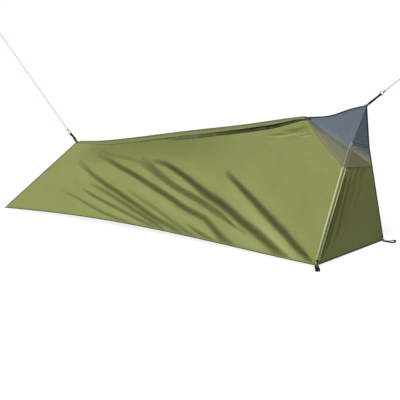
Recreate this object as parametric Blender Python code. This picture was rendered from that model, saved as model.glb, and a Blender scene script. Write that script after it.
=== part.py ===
"""One-person hung tent: a low wedge of olive cloth with a see-through mesh peak.

The tent lies along X with its foot at -X and its head at +X, and its near side faces -Y.
A ridge hangs between two apexes, each held up by a webbing tab and a taut guy line.
All sizes are in metres.
"""
import math

import bpy
import numpy as np
from mathutils import Matrix, Vector

# Floor and apexes
FLOOR_LENGTH = 2.25
FLOOR_WIDTH = 0.70
HEAD_HEIGHT = 0.83
FOOT_HEIGHT = 0.387
HEAD_OVERHANG = 0.078
FOOT_SETBACK = 0.282

# How the hems and the ridge are drawn out of line by the pull of the cloth
SIDE_HEM_BOW = 0.050
FOOT_HEM_BOW = 0.015
NEAR_HEM_LIFT = 0.0255
NEAR_HEM_LIFT_PLACE = 0.375
FAR_HEM_LIFT = 0.012
NEAR_HEAD_CORNER_LIFT = 0.010
FLOOR_EDGE_BAND = 0.10
RIDGE_DIPS = ((0.0, 0.0), (0.25, 0.019), (0.87, 0.022), (1.23, 0.026),
              (1.62, 0.022), (1.81, 0.032), (1.95, 0.009), (2.046, 0.0))

# Doorway in the head end: the zip runs up the near edge, the hinge line up the far edge
ZIP_TOP_BELOW_PEAK = 0.197
ZIP_TOP_DRAWN_IN = 0.018
HINGE_TOP_BELOW_PEAK = 0.248
HINGE_TOP_DRAWN_IN = 0.017

# Seams where the cloth gives way to mesh
NEAR_SEAM_BELOW_PEAK = 0.320
FAR_SEAM_BELOW_PEAK = 0.365
MESH_RIDGE_LENGTH = 0.385
NEAR_SEAM_BOW = 0.009
FAR_SEAM_BOW = 0.002

# Cloth
CLOTH_THICKNESS = 0.0012
MESH_THICKNESS = 0.0010
NEAR_SAG = 0.022
FAR_SAG = 0.030
FOOT_SAG = 0.015
DOOR_SAG = 0.012
MESH_SAG = 0.010

# Diagonal tension folds of the sides, as a fan: places are metres along the hem from the
# foot and metres up the slope of the panel
FOLD_COUNT = 4
FOLD_DEPTH = 0.018
FOLD_HALF_WIDTH = 0.034
FOLD_FIRST_START = (0.30, 0.50)
FOLD_FIRST_END = (1.16, 0.16)
FOLD_STEP_START = (0.32, -0.020)
FOLD_STEP_END = (0.31, -0.042)
FAR_FOLD_COUNT = 3
FAR_FOLD_DEPTH = 0.014

# Rolled seams, piping and patches
BINDING_RADIUS = 0.0030
SEAM_TAPE_RADIUS = 0.0020
DOOR_HEM_RADIUS = 0.0025
PIPING_RADIUS = 0.0018
CORNER_PATCH_RADIUS = 0.0070
APEX_PATCH_RADIUS = 0.0090
SEAM_GAP = 0.0005
PATCH_GAP = 0.0004
HINGE_GAP = 0.0006
DOOR_SILL_GAP = 0.0012
DOOR_TOP_GAP = 0.0004

# Ridge cover: a folded strip over the cloth part of the ridge
COVER_NEAR_WIDTH = 0.025
COVER_FAR_WIDTH = 0.020
COVER_END_WIDTH = 0.010
COVER_TAPER_LENGTH = 0.26
COVER_STANDOFF = 0.011
COVER_THICKNESS = 0.0012
COVER_END_CLEARANCE = 0.012

# Zip
COIL_RADIUS = 0.0016
ZIP_TAPE_WIDTH = 0.0040
ZIP_TAPE_THICKNESS = 0.0010
ZIP_BOTTOM_GAP = 0.026
ZIP_STOP_LENGTH = 0.006
SLIDER_LENGTH = 0.013
SLIDER_PLATE = 0.0012
SLIDER_WEB = 0.0009
SLIDER_CLEARANCE = 0.00035
SLIDER_OVERLAP = 0.0015
SLIDER_START = 0.040
BAIL_RADIUS = 0.0008
LUG_THICKNESS = 0.0010
PULL_WIDTH = 0.0060
PULL_EYE_WIDTH = 0.0028
PULL_LENGTH = 0.026
PULL_THICKNESS = 0.0012
PULL_EYE_WALL = 0.0013
PULL_CLEARANCE = 0.00035

# Webbing: peg loops at the hems and the tabs that hold the apexes
WEBBING_THICKNESS = 0.0016
PEG_LOOP_WIDTH = 0.025
PEG_LOOP_LENGTH = 0.078
PEG_LOOP_EYE_HEIGHT = 0.0120
PEG_LOOP_SEWN_LENGTH = 0.022
STRAND_GAP = 0.0006
NEAR_LOOP_HEADING = -53.0
FAR_LOOP_SHIFT = 0.014
TACK_LENGTH = 0.004
TACK_HEIGHT = 0.0010
HEAD_TAB_WIDTH = 0.012
FOOT_TAB_WIDTH = 0.016
HEAD_TAB_LENGTH = 0.106
FOOT_TAB_LENGTH = 0.062
TAB_EYE_HEIGHT = 0.0090
TAB_EYE_LENGTH = 0.030

# Guy lines
CORD_DIAMETER = 0.0040
HEAD_GUY_RISE = 39.0
FOOT_GUY_RISE = 45.0
HEAD_GUY_LENGTH = 0.200
FOOT_GUY_LENGTH = 0.810
KNOT_RADIUS = 0.0056
KNOT_LENGTH = 0.016
KNOT_TURNS = 3
BIGHT_SPREAD = 0.0106
BIGHT_LENGTH = 0.022
END_LOOP_LENGTH = 0.042
END_LOOP_SPREAD = 0.030
CORD_STEP = 3.0

# Counts of flat stretches
PANEL_COLUMNS = 26
PANEL_LOW_ROWS = 14
SEAM_ROWS = 8
SMALL_COLUMNS = 12
SMALL_ROWS = 10
RIDGE_STEPS = 56
HEM_STEPS = 24

OLIVE = (0.275, 0.315, 0.100)
DARK_OLIVE = (0.085, 0.100, 0.035)
PALE_OLIVE = (0.560, 0.600, 0.320)
MESH_GREY = (0.150, 0.190, 0.230)
FLOOR_GREY = (0.045, 0.050, 0.040)
BLACK = (0.012, 0.012, 0.012)
TACK_GREY = (0.160, 0.165, 0.165)
ZIP_METAL = (0.100, 0.105, 0.090)
GUY_PINK = (0.800, 0.300, 0.310)


def unit(v):
    """The vector v at length one."""
    return v / np.linalg.norm(v)


def vec(x, y, z):
    """A point or direction as a numpy array."""
    return np.array((x, y, z), dtype=float)


def lerp(a, b, t):
    """The point a share t of the way from a to b."""
    return a + (b - a) * t


def smoothstep(t):
    """A smooth rise from 0 to 1."""
    t = min(1.0, max(0.0, t))
    return t * t * (3.0 - 2.0 * t)


def line(a, b):
    """A straight edge from a to b, as a function of its share."""
    return lambda t: lerp(a, b, t)


def across(a, direction):
    """The part of direction at right angles to the unit vector a, at length one."""
    return unit(direction - a * np.dot(direction, a))


def dip_at(x):
    """How far the ridge hangs below its straight line, x metres along from the foot apex."""
    xs = [p[0] for p in RIDGE_DIPS]
    ds = [p[1] for p in RIDGE_DIPS]
    x = min(max(x, xs[0]), xs[-1])
    k = max(i for i in range(len(xs) - 1) if xs[i] <= x)

    def slope(i):
        """The slope of the smooth curve at station i."""
        low, high = max(i - 1, 0), min(i + 1, len(xs) - 1)
        return (ds[high] - ds[low]) / (xs[high] - xs[low])

    span = xs[k + 1] - xs[k]
    s = (x - xs[k]) / span
    start = (2 * s ** 3 - 3 * s ** 2 + 1) * ds[k] + (s ** 3 - 2 * s ** 2 + s) * span * slope(k)
    end = (3 * s ** 2 - 2 * s ** 3) * ds[k + 1] + (s ** 3 - s ** 2) * span * slope(k + 1)
    return start + end


# Corners of the floor and the two apexes
HALF_LENGTH = FLOOR_LENGTH / 2
HALF_WIDTH = FLOOR_WIDTH / 2
NEAR_FOOT = vec(-HALF_LENGTH, -HALF_WIDTH, BINDING_RADIUS)
FAR_FOOT = vec(-HALF_LENGTH, HALF_WIDTH, BINDING_RADIUS)
NEAR_HEAD = vec(HALF_LENGTH, -HALF_WIDTH, BINDING_RADIUS + NEAR_HEAD_CORNER_LIFT)
FAR_HEAD = vec(HALF_LENGTH, HALF_WIDTH, BINDING_RADIUS)
FOOT_APEX = vec(-HALF_LENGTH + FOOT_SETBACK, 0.0, FOOT_HEIGHT)
HEAD_APEX = vec(HALF_LENGTH + HEAD_OVERHANG, 0.0, HEAD_HEIGHT)


def edge_point(corner, below_peak, drawn_in):
    """A point of a head edge: a drop below the head apex, drawn in to the foot."""
    share = 1.0 - below_peak / (HEAD_APEX[2] - corner[2])
    return lerp(corner, HEAD_APEX, share) - vec(drawn_in, 0.0, 0.0)


def seam_share(corner, top, below_peak):
    """How far up the edge from corner to top a seam stands that is a drop below the peak."""
    return (HEAD_APEX[2] - below_peak - corner[2]) / (top[2] - corner[2])


ZIP_TOP = edge_point(NEAR_HEAD, ZIP_TOP_BELOW_PEAK, ZIP_TOP_DRAWN_IN)
HINGE_TOP = edge_point(FAR_HEAD, HINGE_TOP_BELOW_PEAK, HINGE_TOP_DRAWN_IN)
NEAR_SEAM_SHARE = seam_share(NEAR_HEAD, ZIP_TOP, NEAR_SEAM_BELOW_PEAK)
FAR_SEAM_SHARE = seam_share(FAR_HEAD, HINGE_TOP, FAR_SEAM_BELOW_PEAK)
NEAR_SEAM = lerp(NEAR_HEAD, ZIP_TOP, NEAR_SEAM_SHARE)
FAR_SEAM = lerp(FAR_HEAD, HINGE_TOP, FAR_SEAM_SHARE)
RIDGE_LENGTH = HEAD_APEX[0] - FOOT_APEX[0]
RIDGE_SEAM_SHARE = 1.0 - MESH_RIDGE_LENGTH / RIDGE_LENGTH


def ridge(t):
    """The ridge from the foot apex to the head apex."""
    dip = dip_at(t * RIDGE_DIPS[-1][0])
    return lerp(FOOT_APEX, HEAD_APEX, t) - vec(0.0, 0.0, dip)


def near_hem(t):
    """The near hem from foot to head, bowed in and lifted by the pull of the side."""
    arch = 4.0 * t * (1.0 - t)
    base = lerp(NEAR_FOOT, NEAR_HEAD, t)
    base[2] = BINDING_RADIUS + NEAR_HEAD_CORNER_LIFT * t ** 3
    steep = 2.0 * NEAR_HEM_LIFT_PLACE / (1.0 - NEAR_HEM_LIFT_PLACE)
    lift = (t / NEAR_HEM_LIFT_PLACE) ** steep * ((1.0 - t) / (1.0 - NEAR_HEM_LIFT_PLACE)) ** 2
    return base + vec(0.0, SIDE_HEM_BOW * arch, NEAR_HEM_LIFT * lift)


def far_hem(t):
    """The far hem from foot to head."""
    arch = 4.0 * t * (1.0 - t)
    return lerp(FAR_FOOT, FAR_HEAD, t) + vec(0.0, -SIDE_HEM_BOW * arch, FAR_HEM_LIFT * arch)


def foot_hem(t):
    """The foot hem from the near side to the far side."""
    return lerp(NEAR_FOOT, FAR_FOOT, t) + vec(FOOT_HEM_BOW * 4.0 * t * (1.0 - t), 0.0, 0.0)


def cloth_ridge(t):
    """The part of the ridge over the cloth sides."""
    return ridge(t * RIDGE_SEAM_SHARE)


def mesh_ridge(t):
    """The part of the ridge over the mesh peak."""
    return ridge(RIDGE_SEAM_SHARE + t * (1.0 - RIDGE_SEAM_SHARE))


def side_seam(start):
    """The seam between cloth and mesh from a head edge up to the ridge, bowed to the foot."""
    top = mesh_ridge(0.0)
    run = unit(top - start)
    depth = NEAR_SEAM_BOW if start[1] < 0 else FAR_SEAM_BOW
    bow = across(run, vec(-1.0, 0.0, -1.0)) * depth
    return lambda t: lerp(start, top, t) + bow * 4.0 * t * (1.0 - t)


def joined(first, second, share):
    """One edge made of two: first up to the share, then second."""
    def edge(t):
        """A point of the joined edge."""
        if t <= share:
            return first(t / share)
        return second((t - share) / (1.0 - share))
    return edge


def polyline(points):
    """An edge through points, as a function of its share."""
    def edge(t):
        """A point of the edge."""
        place = t * (len(points) - 1)
        k = min(int(place), len(points) - 2)
        return lerp(points[k], points[k + 1], place - k)
    return edge


def coons(bottom, top, left, right, columns, rows):
    """A grid of points filling the four edges: rows run up, columns along."""
    us = columns if isinstance(columns, (list, tuple)) else np.linspace(0, 1, columns + 1)
    vs = rows if isinstance(rows, (list, tuple)) else np.linspace(0, 1, rows + 1)
    grid = np.zeros((len(vs), len(us), 3))
    for i, v in enumerate(vs):
        for j, u in enumerate(us):
            ruled = lerp(bottom(u), top(u), v) + lerp(left(v), right(v), u)
            twist = lerp(lerp(bottom(0), bottom(1), u), lerp(top(0), top(1), u), v)
            grid[i, j] = ruled - twist
    return grid


def normals(grid):
    """Unit normals of a grid of points."""
    along = np.gradient(grid, axis=1)
    up = np.gradient(grid, axis=0)
    n = np.cross(along, up)
    return n / np.linalg.norm(n, axis=2, keepdims=True)


def sagged(grid, inward, depth):
    """The grid bellied by depth towards inward, still held at its four edges."""
    rows, columns = grid.shape[:2]
    v = np.sin(np.pi * np.linspace(0, 1, rows))[:, None, None]
    u = np.sin(np.pi * np.linspace(0, 1, columns))[None, :, None]
    return grid + v * u * depth * inward


def meeting(first, first_gap, second, second_gap):
    """The shift from where two edges meet that clears both, given the unit steps off them."""
    c = float(np.dot(first, second))
    if c > 0.8:
        return (first + second) * max(first_gap, second_gap) / (1.0 + c)
    shift = first * (first_gap - c * second_gap) + second * (second_gap - c * first_gap)
    return shift / (1.0 - c * c)


def edge_moves(points, faces_out, gaps, turn):
    """How far each point of an edge moves in to clear its seam, with the edge's runs and steps."""
    last = len(points) - 1
    gaps = np.broadcast_to(gaps, (last,))
    runs = [unit(points[k + 1] - points[k]) for k in range(last)]
    steps = [turn * unit(np.cross(faces_out[min(max(k, 1), last - 1)], runs[k]))
             for k in range(last)]
    moves = [steps[0] * gaps[0]]
    moves += [meeting(steps[k - 1], gaps[k - 1], steps[k], gaps[k]) for k in range(1, last)]
    moves.append(steps[-1] * gaps[-1])
    return np.array(moves), runs, steps, gaps


def trimmed(grid, bottom, right, top, left, bottom_left=0.0, bottom_right=0.0,
            top_right=0.0, top_left=0.0):
    """The grid with its edges drawn back from their seams.

    Each edge takes one distance, or one for each of its stretches. The four last values keep
    a corner at least that far from where its two seams meet.
    """
    out = normals(grid)
    edges = {"bottom": edge_moves(grid[0], out[1], bottom, 1.0),
             "top": edge_moves(grid[-1], out[-2], top, -1.0),
             "left": edge_moves(grid[:, 0], out[:, 1], left, -1.0),
             "right": edge_moves(grid[:, -1], out[:, -2], right, 1.0)}
    corners = (("bottom", "left", 0, 0, bottom_left), ("bottom", "right", -1, 0, bottom_right),
               ("top", "right", -1, -1, top_right), ("top", "left", 0, -1, top_left))
    corner_moves = {edge: [None, None] for edge in edges}
    for level, side, i, j, keep in corners:
        shift = meeting(edges[level][2][i], edges[level][3][i],
                        edges[side][2][j], edges[side][3][j])
        reach = np.linalg.norm(shift)
        if reach < keep:
            middle = unit(edges[level][2][i] + edges[side][2][j])
            shift = middle * keep if reach == 0.0 else shift * keep / reach
        corner_moves[level][i] = shift
        corner_moves[side][j] = shift
    for edge, (moves, runs, steps, gaps) in edges.items():
        last = len(moves) - 1
        spare = [corner_moves[edge][i] - moves[i] for i in (0, -1)]
        along = [float(np.dot(spare[i], runs[i])) for i in (0, -1)]
        inside = [float(np.dot(spare[i], steps[i])) for i in (0, -1)]
        for k in range(1, last):
            t = k / last
            nearby = inside[0] * max(0.0, 1.0 - 4.0 * t) + inside[1] * max(0.0, 4.0 * t - 3.0)
            moves[k] += runs[k] * lerp(along[0], along[1], t) + steps[k] * nearby
        moves[0], moves[-1] = corner_moves[edge]
    rows, columns = grid.shape[:2]
    v = np.linspace(0, 1, rows)[:, None, None]
    u = np.linspace(0, 1, columns)[None, :, None]
    low, high = edges["bottom"][0], edges["top"][0]
    ruled = lerp(low[None], high[None], v)
    ruled = ruled + lerp(edges["left"][0][:, None], edges["right"][0][:, None], u)
    return grid + ruled - lerp(lerp(low[0], low[-1], u), lerp(high[0], high[-1], u), v)


def fold_depth(x, height, count, depth):
    """The inward depth of the fan of tension folds, at a place along and up the side."""
    total = 0.0
    for i in range(count):
        a = np.array(FOLD_FIRST_START) + np.array(FOLD_STEP_START) * i
        b = np.array(FOLD_FIRST_END) + np.array(FOLD_STEP_END) * i
        run = b - a
        length = np.linalg.norm(run)
        offset = np.array((x, height)) - a
        along = float(np.dot(offset, run)) / length ** 2
        if 0.0 < along < 1.0:
            beside = (offset[0] * run[1] - offset[1] * run[0]) / length
            profile = math.exp(-(beside / FOLD_HALF_WIDTH) ** 2)
            total += depth * profile * math.sqrt(math.sin(math.pi * along))
    return total


def folded(grid, outward, count, depth):
    """The grid with its tension folds pressed inward, fading out towards the edges."""
    rows, columns = grid.shape[:2]
    out = grid.copy()
    slope = float(np.linalg.norm(grid[-1, columns // 2] - grid[0, columns // 2]))
    for i in range(1, rows - 1):
        for j in range(1, columns - 1):
            u, v = j / (columns - 1), i / (rows - 1)
            fade = smoothstep(8.0 * min(u, 1.0 - u)) * smoothstep(7.0 * min(v, 1.0 - v))
            dent = fold_depth(u * FLOOR_LENGTH, v * slope, count, depth)
            out[i, j] -= outward * dent * fade
    return out


OBJECTS = {}


def clear_scene():
    """Removes whatever the scene holds."""
    for obj in list(bpy.data.objects):
        bpy.data.objects.remove(obj, do_unlink=True)


def finish(obj, color, roughness, metallic=0.0):
    """Gives an object its own material and lists it."""
    material = bpy.data.materials.new(obj.name)
    material.use_nodes = True
    shader = material.node_tree.nodes["Principled BSDF"]
    shader.inputs["Base Color"].default_value = (*color, 1.0)
    shader.inputs["Roughness"].default_value = roughness
    shader.inputs["Metallic"].default_value = metallic
    obj.data.materials.clear()
    obj.data.materials.append(material)
    OBJECTS[obj.name] = obj
    return obj


def add_mesh(name, vertices, faces, smooth=True):
    """A mesh object from vertices and faces."""
    mesh = bpy.data.meshes.new(name)
    mesh.from_pydata([tuple(v) for v in vertices], [], faces)
    mesh.update()
    if smooth:
        mesh.shade_smooth()
        mesh.set_sharp_from_angle(angle=math.radians(40))
    obj = bpy.data.objects.new(name, mesh)
    bpy.context.scene.collection.objects.link(obj)
    return obj


def sheet(name, grid, thickness):
    """A closed sheet of cloth, half its thickness either side of a grid of points.

    Its stretches are halved from high at the foot to low at the head, as the folds run.
    """
    rows, columns = grid.shape[:2]
    n = normals(grid) * thickness / 2
    vertices = np.concatenate([(grid + n).reshape(-1, 3), (grid - n).reshape(-1, 3)])
    under = rows * columns
    faces = []
    for i in range(rows - 1):
        for j in range(columns - 1):
            a = i * columns + j
            for corner in ((a, a + 1, a + columns), (a + 1, a + columns + 1, a + columns)):
                faces.append(corner)
                faces.append(tuple(under + k for k in reversed(corner)))
    rim = [j for j in range(columns)]
    rim += [i * columns + columns - 1 for i in range(1, rows)]
    rim += [(rows - 1) * columns + j for j in range(columns - 2, -1, -1)]
    rim += [i * columns for i in range(rows - 2, 0, -1)]
    for k, a in enumerate(rim):
        b = rim[(k + 1) % len(rim)]
        faces.append((b, a, under + a, under + b))
    return add_mesh(name, vertices, faces)


def tube(name, points, radius, resolution=2):
    """A round roll or cord along points, with filled ends."""
    curve = bpy.data.curves.new(name, "CURVE")
    curve.dimensions = "3D"
    curve.bevel_depth = radius
    curve.bevel_resolution = resolution
    curve.use_fill_caps = True
    spline = curve.splines.new("POLY")
    spline.points.add(len(points) - 1)
    for point, place in zip(spline.points, points):
        point.co = (*place, 1.0)
    obj = bpy.data.objects.new(name, curve)
    bpy.context.scene.collection.objects.link(obj)
    return obj


def stretch(edge, steps, start_gap, end_gap):
    """Points along an edge, stopping short of its two ends by lengths."""
    fine = np.array([edge(t) for t in np.linspace(0, 1, 8 * steps + 1)])
    lengths = np.concatenate([[0.0], np.cumsum(np.linalg.norm(np.diff(fine, axis=0), axis=1))])
    wanted = np.linspace(start_gap, lengths[-1] - end_gap, steps + 1)
    return np.stack([np.interp(wanted, lengths, fine[:, k]) for k in range(3)], axis=1)


def prism(name, outline, origin, first, second, axis, depth):
    """A plate: an outline in the plane of first and second, as thick as depth along axis.

    first, second and axis form a right-handed set.
    """
    flat = [origin + first * p[0] + second * p[1] for p in outline]
    count = len(flat)
    vertices = [p - axis * depth / 2 for p in flat] + [p + axis * depth / 2 for p in flat]
    faces = [tuple(reversed(range(count))), tuple(range(count, 2 * count))]
    faces += [(k, (k + 1) % count, count + (k + 1) % count, count + k) for k in range(count)]
    return add_mesh(name, vertices, faces)


def webbing_ring(name, path, origin, forward, up, width, thickness):
    """A closed loop of flat webbing that follows a path in the plane of forward and up."""
    path = np.array(path)
    side = np.cross(up, forward)
    before = np.roll(path, 1, axis=0)
    after = np.roll(path, -1, axis=0)
    run = after - before
    run /= np.linalg.norm(run, axis=1)[:, None]
    out = np.stack([run[:, 1], -run[:, 0]], axis=1)
    vertices = []
    for p, o in zip(path, out):
        for shift, half in ((1, -1), (1, 1), (-1, 1), (-1, -1)):
            q = p + o * shift * thickness / 2
            vertices.append(origin + forward * q[0] + up * q[1] + side * half * width / 2)
    count = len(path)
    faces = []
    for k in range(count):
        a, b = 4 * k, 4 * ((k + 1) % count)
        for m in range(4):
            n = (m + 1) % 4
            faces.append((a + m, a + n, b + n, b + m))
    return add_mesh(name, vertices, faces)


def teardrop(sewn, length, eye, thickness):
    """The mid line of a sewn webbing loop seen edge on, from its root to its round end.

    It starts at the root, at the origin, with its lower strand on the forward axis.
    """
    lower = thickness / 2
    bend = (STRAND_GAP + thickness) / 2
    radius = (eye + thickness) / 2
    root = [(lower + bend + bend * math.cos(a), lower + bend + bend * math.sin(a))
            for a in np.linspace(math.radians(90), math.radians(270), 7)]
    bottom = [(bend + s, lower) for s in (sewn * 0.5, sewn)]
    bottom += [(lerp(sewn, length - radius, t), lower) for t in (0.25, 0.5, 0.75)]
    tip_x = length - radius - thickness / 2
    tip = [(tip_x + radius * math.cos(a), lower + radius + radius * math.sin(a))
           for a in np.linspace(math.radians(-90), math.radians(90), 9)]
    top = []
    for t in (0.85, 0.65, 0.45, 0.25, 0.1):
        x = lerp(sewn, tip_x, t)
        rise = smoothstep(t) * (2 * radius - 2 * bend)
        top.append((x, lower + 2 * bend + rise))
    top.append((bend + sewn * 0.5, lower + 2 * bend))
    return root + bottom + tip + top


def body_of_turns(name, origin, direction, length, radius, turns):
    """The wound part of a knot: a bumpy barrel of cord turns about a direction."""
    side = across(direction, vec(0.0, 1.0, 0.0))
    other = np.cross(direction, side)
    sides = 10
    steps = 4 * turns
    vertices = [origin]
    for k in range(1, steps):
        t = k / steps
        r = radius * (0.78 + 0.22 * abs(math.sin(math.pi * turns * t)))
        for m in range(sides):
            a = 2 * math.pi * (m + 0.3) / sides
            ring = side * math.cos(a) + other * math.sin(a)
            vertices.append(origin + direction * length * t + ring * r)
    vertices.append(origin + direction * length)
    last = len(vertices) - 1
    faces = [(0, 1 + (m + 1) % sides, 1 + m) for m in range(sides)]
    for k in range(steps - 2):
        for m in range(sides):
            a, b = 1 + k * sides + m, 1 + k * sides + (m + 1) % sides
            faces.append((a, b, b + sides, a + sides))
    ring = 1 + (steps - 2) * sides
    faces += [(ring + m, ring + (m + 1) % sides, last) for m in range(sides)]
    return add_mesh(name, vertices, faces)


def strand(name, points, flat, radius):
    """A length of cord along points that lie in the plane square to flat, with closed ends."""
    points = np.array(points)
    run = np.gradient(points, axis=0)
    run /= np.linalg.norm(run, axis=1)[:, None]
    sides = 8
    count = len(points)
    vertices = []
    for p, r in zip(points, run):
        out = np.cross(r, flat)
        for m in range(sides):
            a = 2 * math.pi * m / sides
            vertices.append(p + (out * math.cos(a) + flat * math.sin(a)) * radius)
    faces = [tuple(range(sides)), tuple(reversed(range((count - 1) * sides, count * sides)))]
    for k in range(count - 1):
        for m in range(sides):
            a, b = k * sides + m, k * sides + (m + 1) % sides
            faces.append((a, a + sides, b + sides, b))
    return add_mesh(name, vertices, faces)


def facing_out(obj):
    """Turns a closed mesh so that its faces point out."""
    mesh = obj.data
    volume = 0.0
    for face in mesh.polygons:
        corners = [mesh.vertices[i].co for i in face.vertices]
        for k in range(1, len(corners) - 1):
            volume += corners[0].dot(corners[k].cross(corners[k + 1]))
    if volume < 0:
        mesh.flip_normals()
    return obj


def merged(obj, *tools):
    """Fuses the tools into the object as one body."""
    for tool in tools:
        union = obj.modifiers.new(tool.name, "BOOLEAN")
        union.operation = "UNION"
        union.solver = "EXACT"
        union.object = tool
        tool.hide_render = True
        tool.display_type = "WIRE"
    return obj


def carried_by(pivot, *pieces):
    """Hangs pieces on an empty that stands on their joint's axis."""
    for piece in pieces:
        piece.parent = pivot
        piece.matrix_parent_inverse = pivot.matrix_world.inverted()


def pivot_at(name, place, parent=None):
    """An empty at a joint's axis."""
    pivot = bpy.data.objects.new(name, None)
    pivot.empty_display_size = 0.02
    bpy.context.scene.collection.objects.link(pivot)
    pivot.location = Vector(place)
    pivot.matrix_world = Matrix.Translation(Vector(place))
    if parent is not None:
        pivot.parent = parent
        pivot.matrix_parent_inverse = parent.matrix_world.inverted()
    return pivot


# Directions about the zip: up the zip, into the near side, into the door, and, because the
# zip lies flat across the corner between them, sideways to the near side and out of the corner
ZIP_RUN = unit(ZIP_TOP - NEAR_HEAD)
ZIP_LENGTH = float(np.linalg.norm(ZIP_TOP - NEAR_HEAD))
INTO_SIDE = across(ZIP_RUN, vec(-1.0, 0.0, 0.0))
INTO_DOOR = across(ZIP_RUN, FAR_HEAD - NEAR_HEAD)
SIDEWAYS = unit(INTO_SIDE - INTO_DOOR)
OUTWARD = -unit(INTO_SIDE + INTO_DOOR)
COIL_OFFSET = COIL_RADIUS + SLIDER_CLEARANCE + SLIDER_WEB / 2
SLIDER_REACH = COIL_RADIUS + SLIDER_OVERLAP
TAPE_START = COIL_OFFSET + COIL_RADIUS + SEAM_GAP
TAPE_BEND = COIL_OFFSET + SLIDER_REACH + SLIDER_CLEARANCE
ACROSS_CORNER = float(np.dot(SIDEWAYS, INTO_SIDE))
ZIP_INSET = TAPE_BEND * math.sqrt(1.0 - ACROSS_CORNER ** 2) / ACROSS_CORNER
TAPE_END = TAPE_BEND / ACROSS_CORNER + ZIP_TAPE_WIDTH
PIPING_PLACE = TAPE_END + SEAM_GAP + PIPING_RADIUS
CLOTH_FROM_ZIP = PIPING_PLACE + PIPING_RADIUS + SEAM_GAP
MESH_FROM_ZIP = TAPE_END + SEAM_GAP
CLOTH_FROM_BINDING = BINDING_RADIUS + SEAM_GAP
CLOTH_FROM_SEAM = SEAM_TAPE_RADIUS + SEAM_GAP
APEX_CLEARANCE = APEX_PATCH_RADIUS + PATCH_GAP + CLOTH_THICKNESS
CORNER_CLEARANCE = CORNER_PATCH_RADIUS + PATCH_GAP + CLOTH_THICKNESS
HINGE_RUN = unit(HINGE_TOP - FAR_HEAD)


def seam_edge(start):
    """The mesh seam in the straight stretches that the cloth and the mesh beside it share."""
    curve = side_seam(start)
    return polyline([curve(t) for t in np.linspace(0, 1, SEAM_ROWS + 1)])


def side_panel(name, hem, head_edge, seam, outward, sag, edge_gap, folds, depth):
    """A cloth side: from its hem up to the ridge, and from the foot edge to the mesh seam."""
    foot = NEAR_FOOT if outward[1] < 0 else FAR_FOOT
    rows = PANEL_LOW_ROWS + SEAM_ROWS
    end = joined(head_edge, seam, PANEL_LOW_ROWS / rows)
    grid = coons(hem, cloth_ridge, line(foot, FOOT_APEX), end, PANEL_COLUMNS, rows)
    grid = sagged(grid, -outward, sag)
    grid = folded(grid, outward, folds, depth)
    end_gaps = [edge_gap] * PANEL_LOW_ROWS + [CLOTH_FROM_SEAM] * SEAM_ROWS
    grid = trimmed(grid, CLOTH_FROM_BINDING, end_gaps, CLOTH_FROM_BINDING, CLOTH_FROM_BINDING,
                   bottom_left=CORNER_CLEARANCE, bottom_right=CORNER_CLEARANCE,
                   top_left=APEX_CLEARANCE)
    return finish(sheet(name, grid, CLOTH_THICKNESS), OLIVE, 0.72)


def build_sides():
    """Both cloth sides and the cloth foot end."""
    rise = unit(vec(0.0, -HEAD_HEIGHT, HALF_WIDTH))
    near_out = unit(vec(0.0, rise[1], rise[2]))
    far_out = unit(vec(0.0, -rise[1], rise[2]))
    side_panel("near_side_panel", near_hem, line(NEAR_HEAD, NEAR_SEAM), seam_edge(NEAR_SEAM),
               near_out, NEAR_SAG, CLOTH_FROM_ZIP, FOLD_COUNT, FOLD_DEPTH)
    side_panel("far_side_panel", far_hem, line(FAR_HEAD, FAR_SEAM), seam_edge(FAR_SEAM),
               far_out, FAR_SAG, CLOTH_FROM_BINDING, FAR_FOLD_COUNT, FAR_FOLD_DEPTH)

    grid = coons(foot_hem, line(FOOT_APEX, FOOT_APEX), line(NEAR_FOOT, FOOT_APEX),
                 line(FAR_FOOT, FOOT_APEX), SMALL_COLUMNS, truncated_rows(FOOT_APEX, NEAR_FOOT))
    grid = sagged(grid, unit(vec(FOOT_HEIGHT, 0.0, -FOOT_SETBACK)), FOOT_SAG)
    grid = trimmed(grid, CLOTH_FROM_BINDING, CLOTH_FROM_BINDING, 0.0, CLOTH_FROM_BINDING,
                   bottom_left=CORNER_CLEARANCE, bottom_right=CORNER_CLEARANCE)
    finish(sheet("foot_end_panel", grid, CLOTH_THICKNESS), OLIVE, 0.72)


def truncated_rows(apex, corner):
    """Rows of a three-sided panel that stop short of the patch on its apex."""
    tip = 2.2 * APEX_CLEARANCE / float(np.linalg.norm(apex - corner))
    return [float(v) for v in np.linspace(0.0, 1.0 - tip, SMALL_ROWS + 1)]


def build_mesh_peak():
    """The mesh in the two sides and the fixed mesh over the door."""
    for name, corner, top, start, zip_gap, away in (
            ("near_mesh_panel", NEAR_SEAM, ZIP_TOP, NEAR_SEAM, MESH_FROM_ZIP, -1.0),
            ("far_mesh_panel", FAR_SEAM, HINGE_TOP, FAR_SEAM, CLOTH_FROM_BINDING, 1.0)):
        grid = coons(line(corner, top), mesh_ridge, seam_edge(start), line(top, HEAD_APEX),
                     SMALL_COLUMNS, SEAM_ROWS)
        inward = -unit(vec(0.0, away * HEAD_HEIGHT, HALF_WIDTH))
        grid = sagged(grid, inward, MESH_SAG)
        grid = trimmed(grid, zip_gap, CLOTH_FROM_BINDING, CLOTH_FROM_BINDING, CLOTH_FROM_SEAM,
                       top_right=APEX_CLEARANCE)
        finish(sheet(name, grid, MESH_THICKNESS), MESH_GREY, 0.6)

    grid = coons(line(ZIP_TOP, HINGE_TOP), line(HEAD_APEX, HEAD_APEX), line(ZIP_TOP, HEAD_APEX),
                 line(HINGE_TOP, HEAD_APEX), SMALL_COLUMNS // 2, truncated_rows(HEAD_APEX, ZIP_TOP))
    grid = trimmed(grid, DOOR_TOP_GAP, CLOTH_FROM_BINDING, 0.0, CLOTH_FROM_BINDING)
    finish(sheet("head_mesh_cap", grid, MESH_THICKNESS), MESH_GREY, 0.6)


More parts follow.
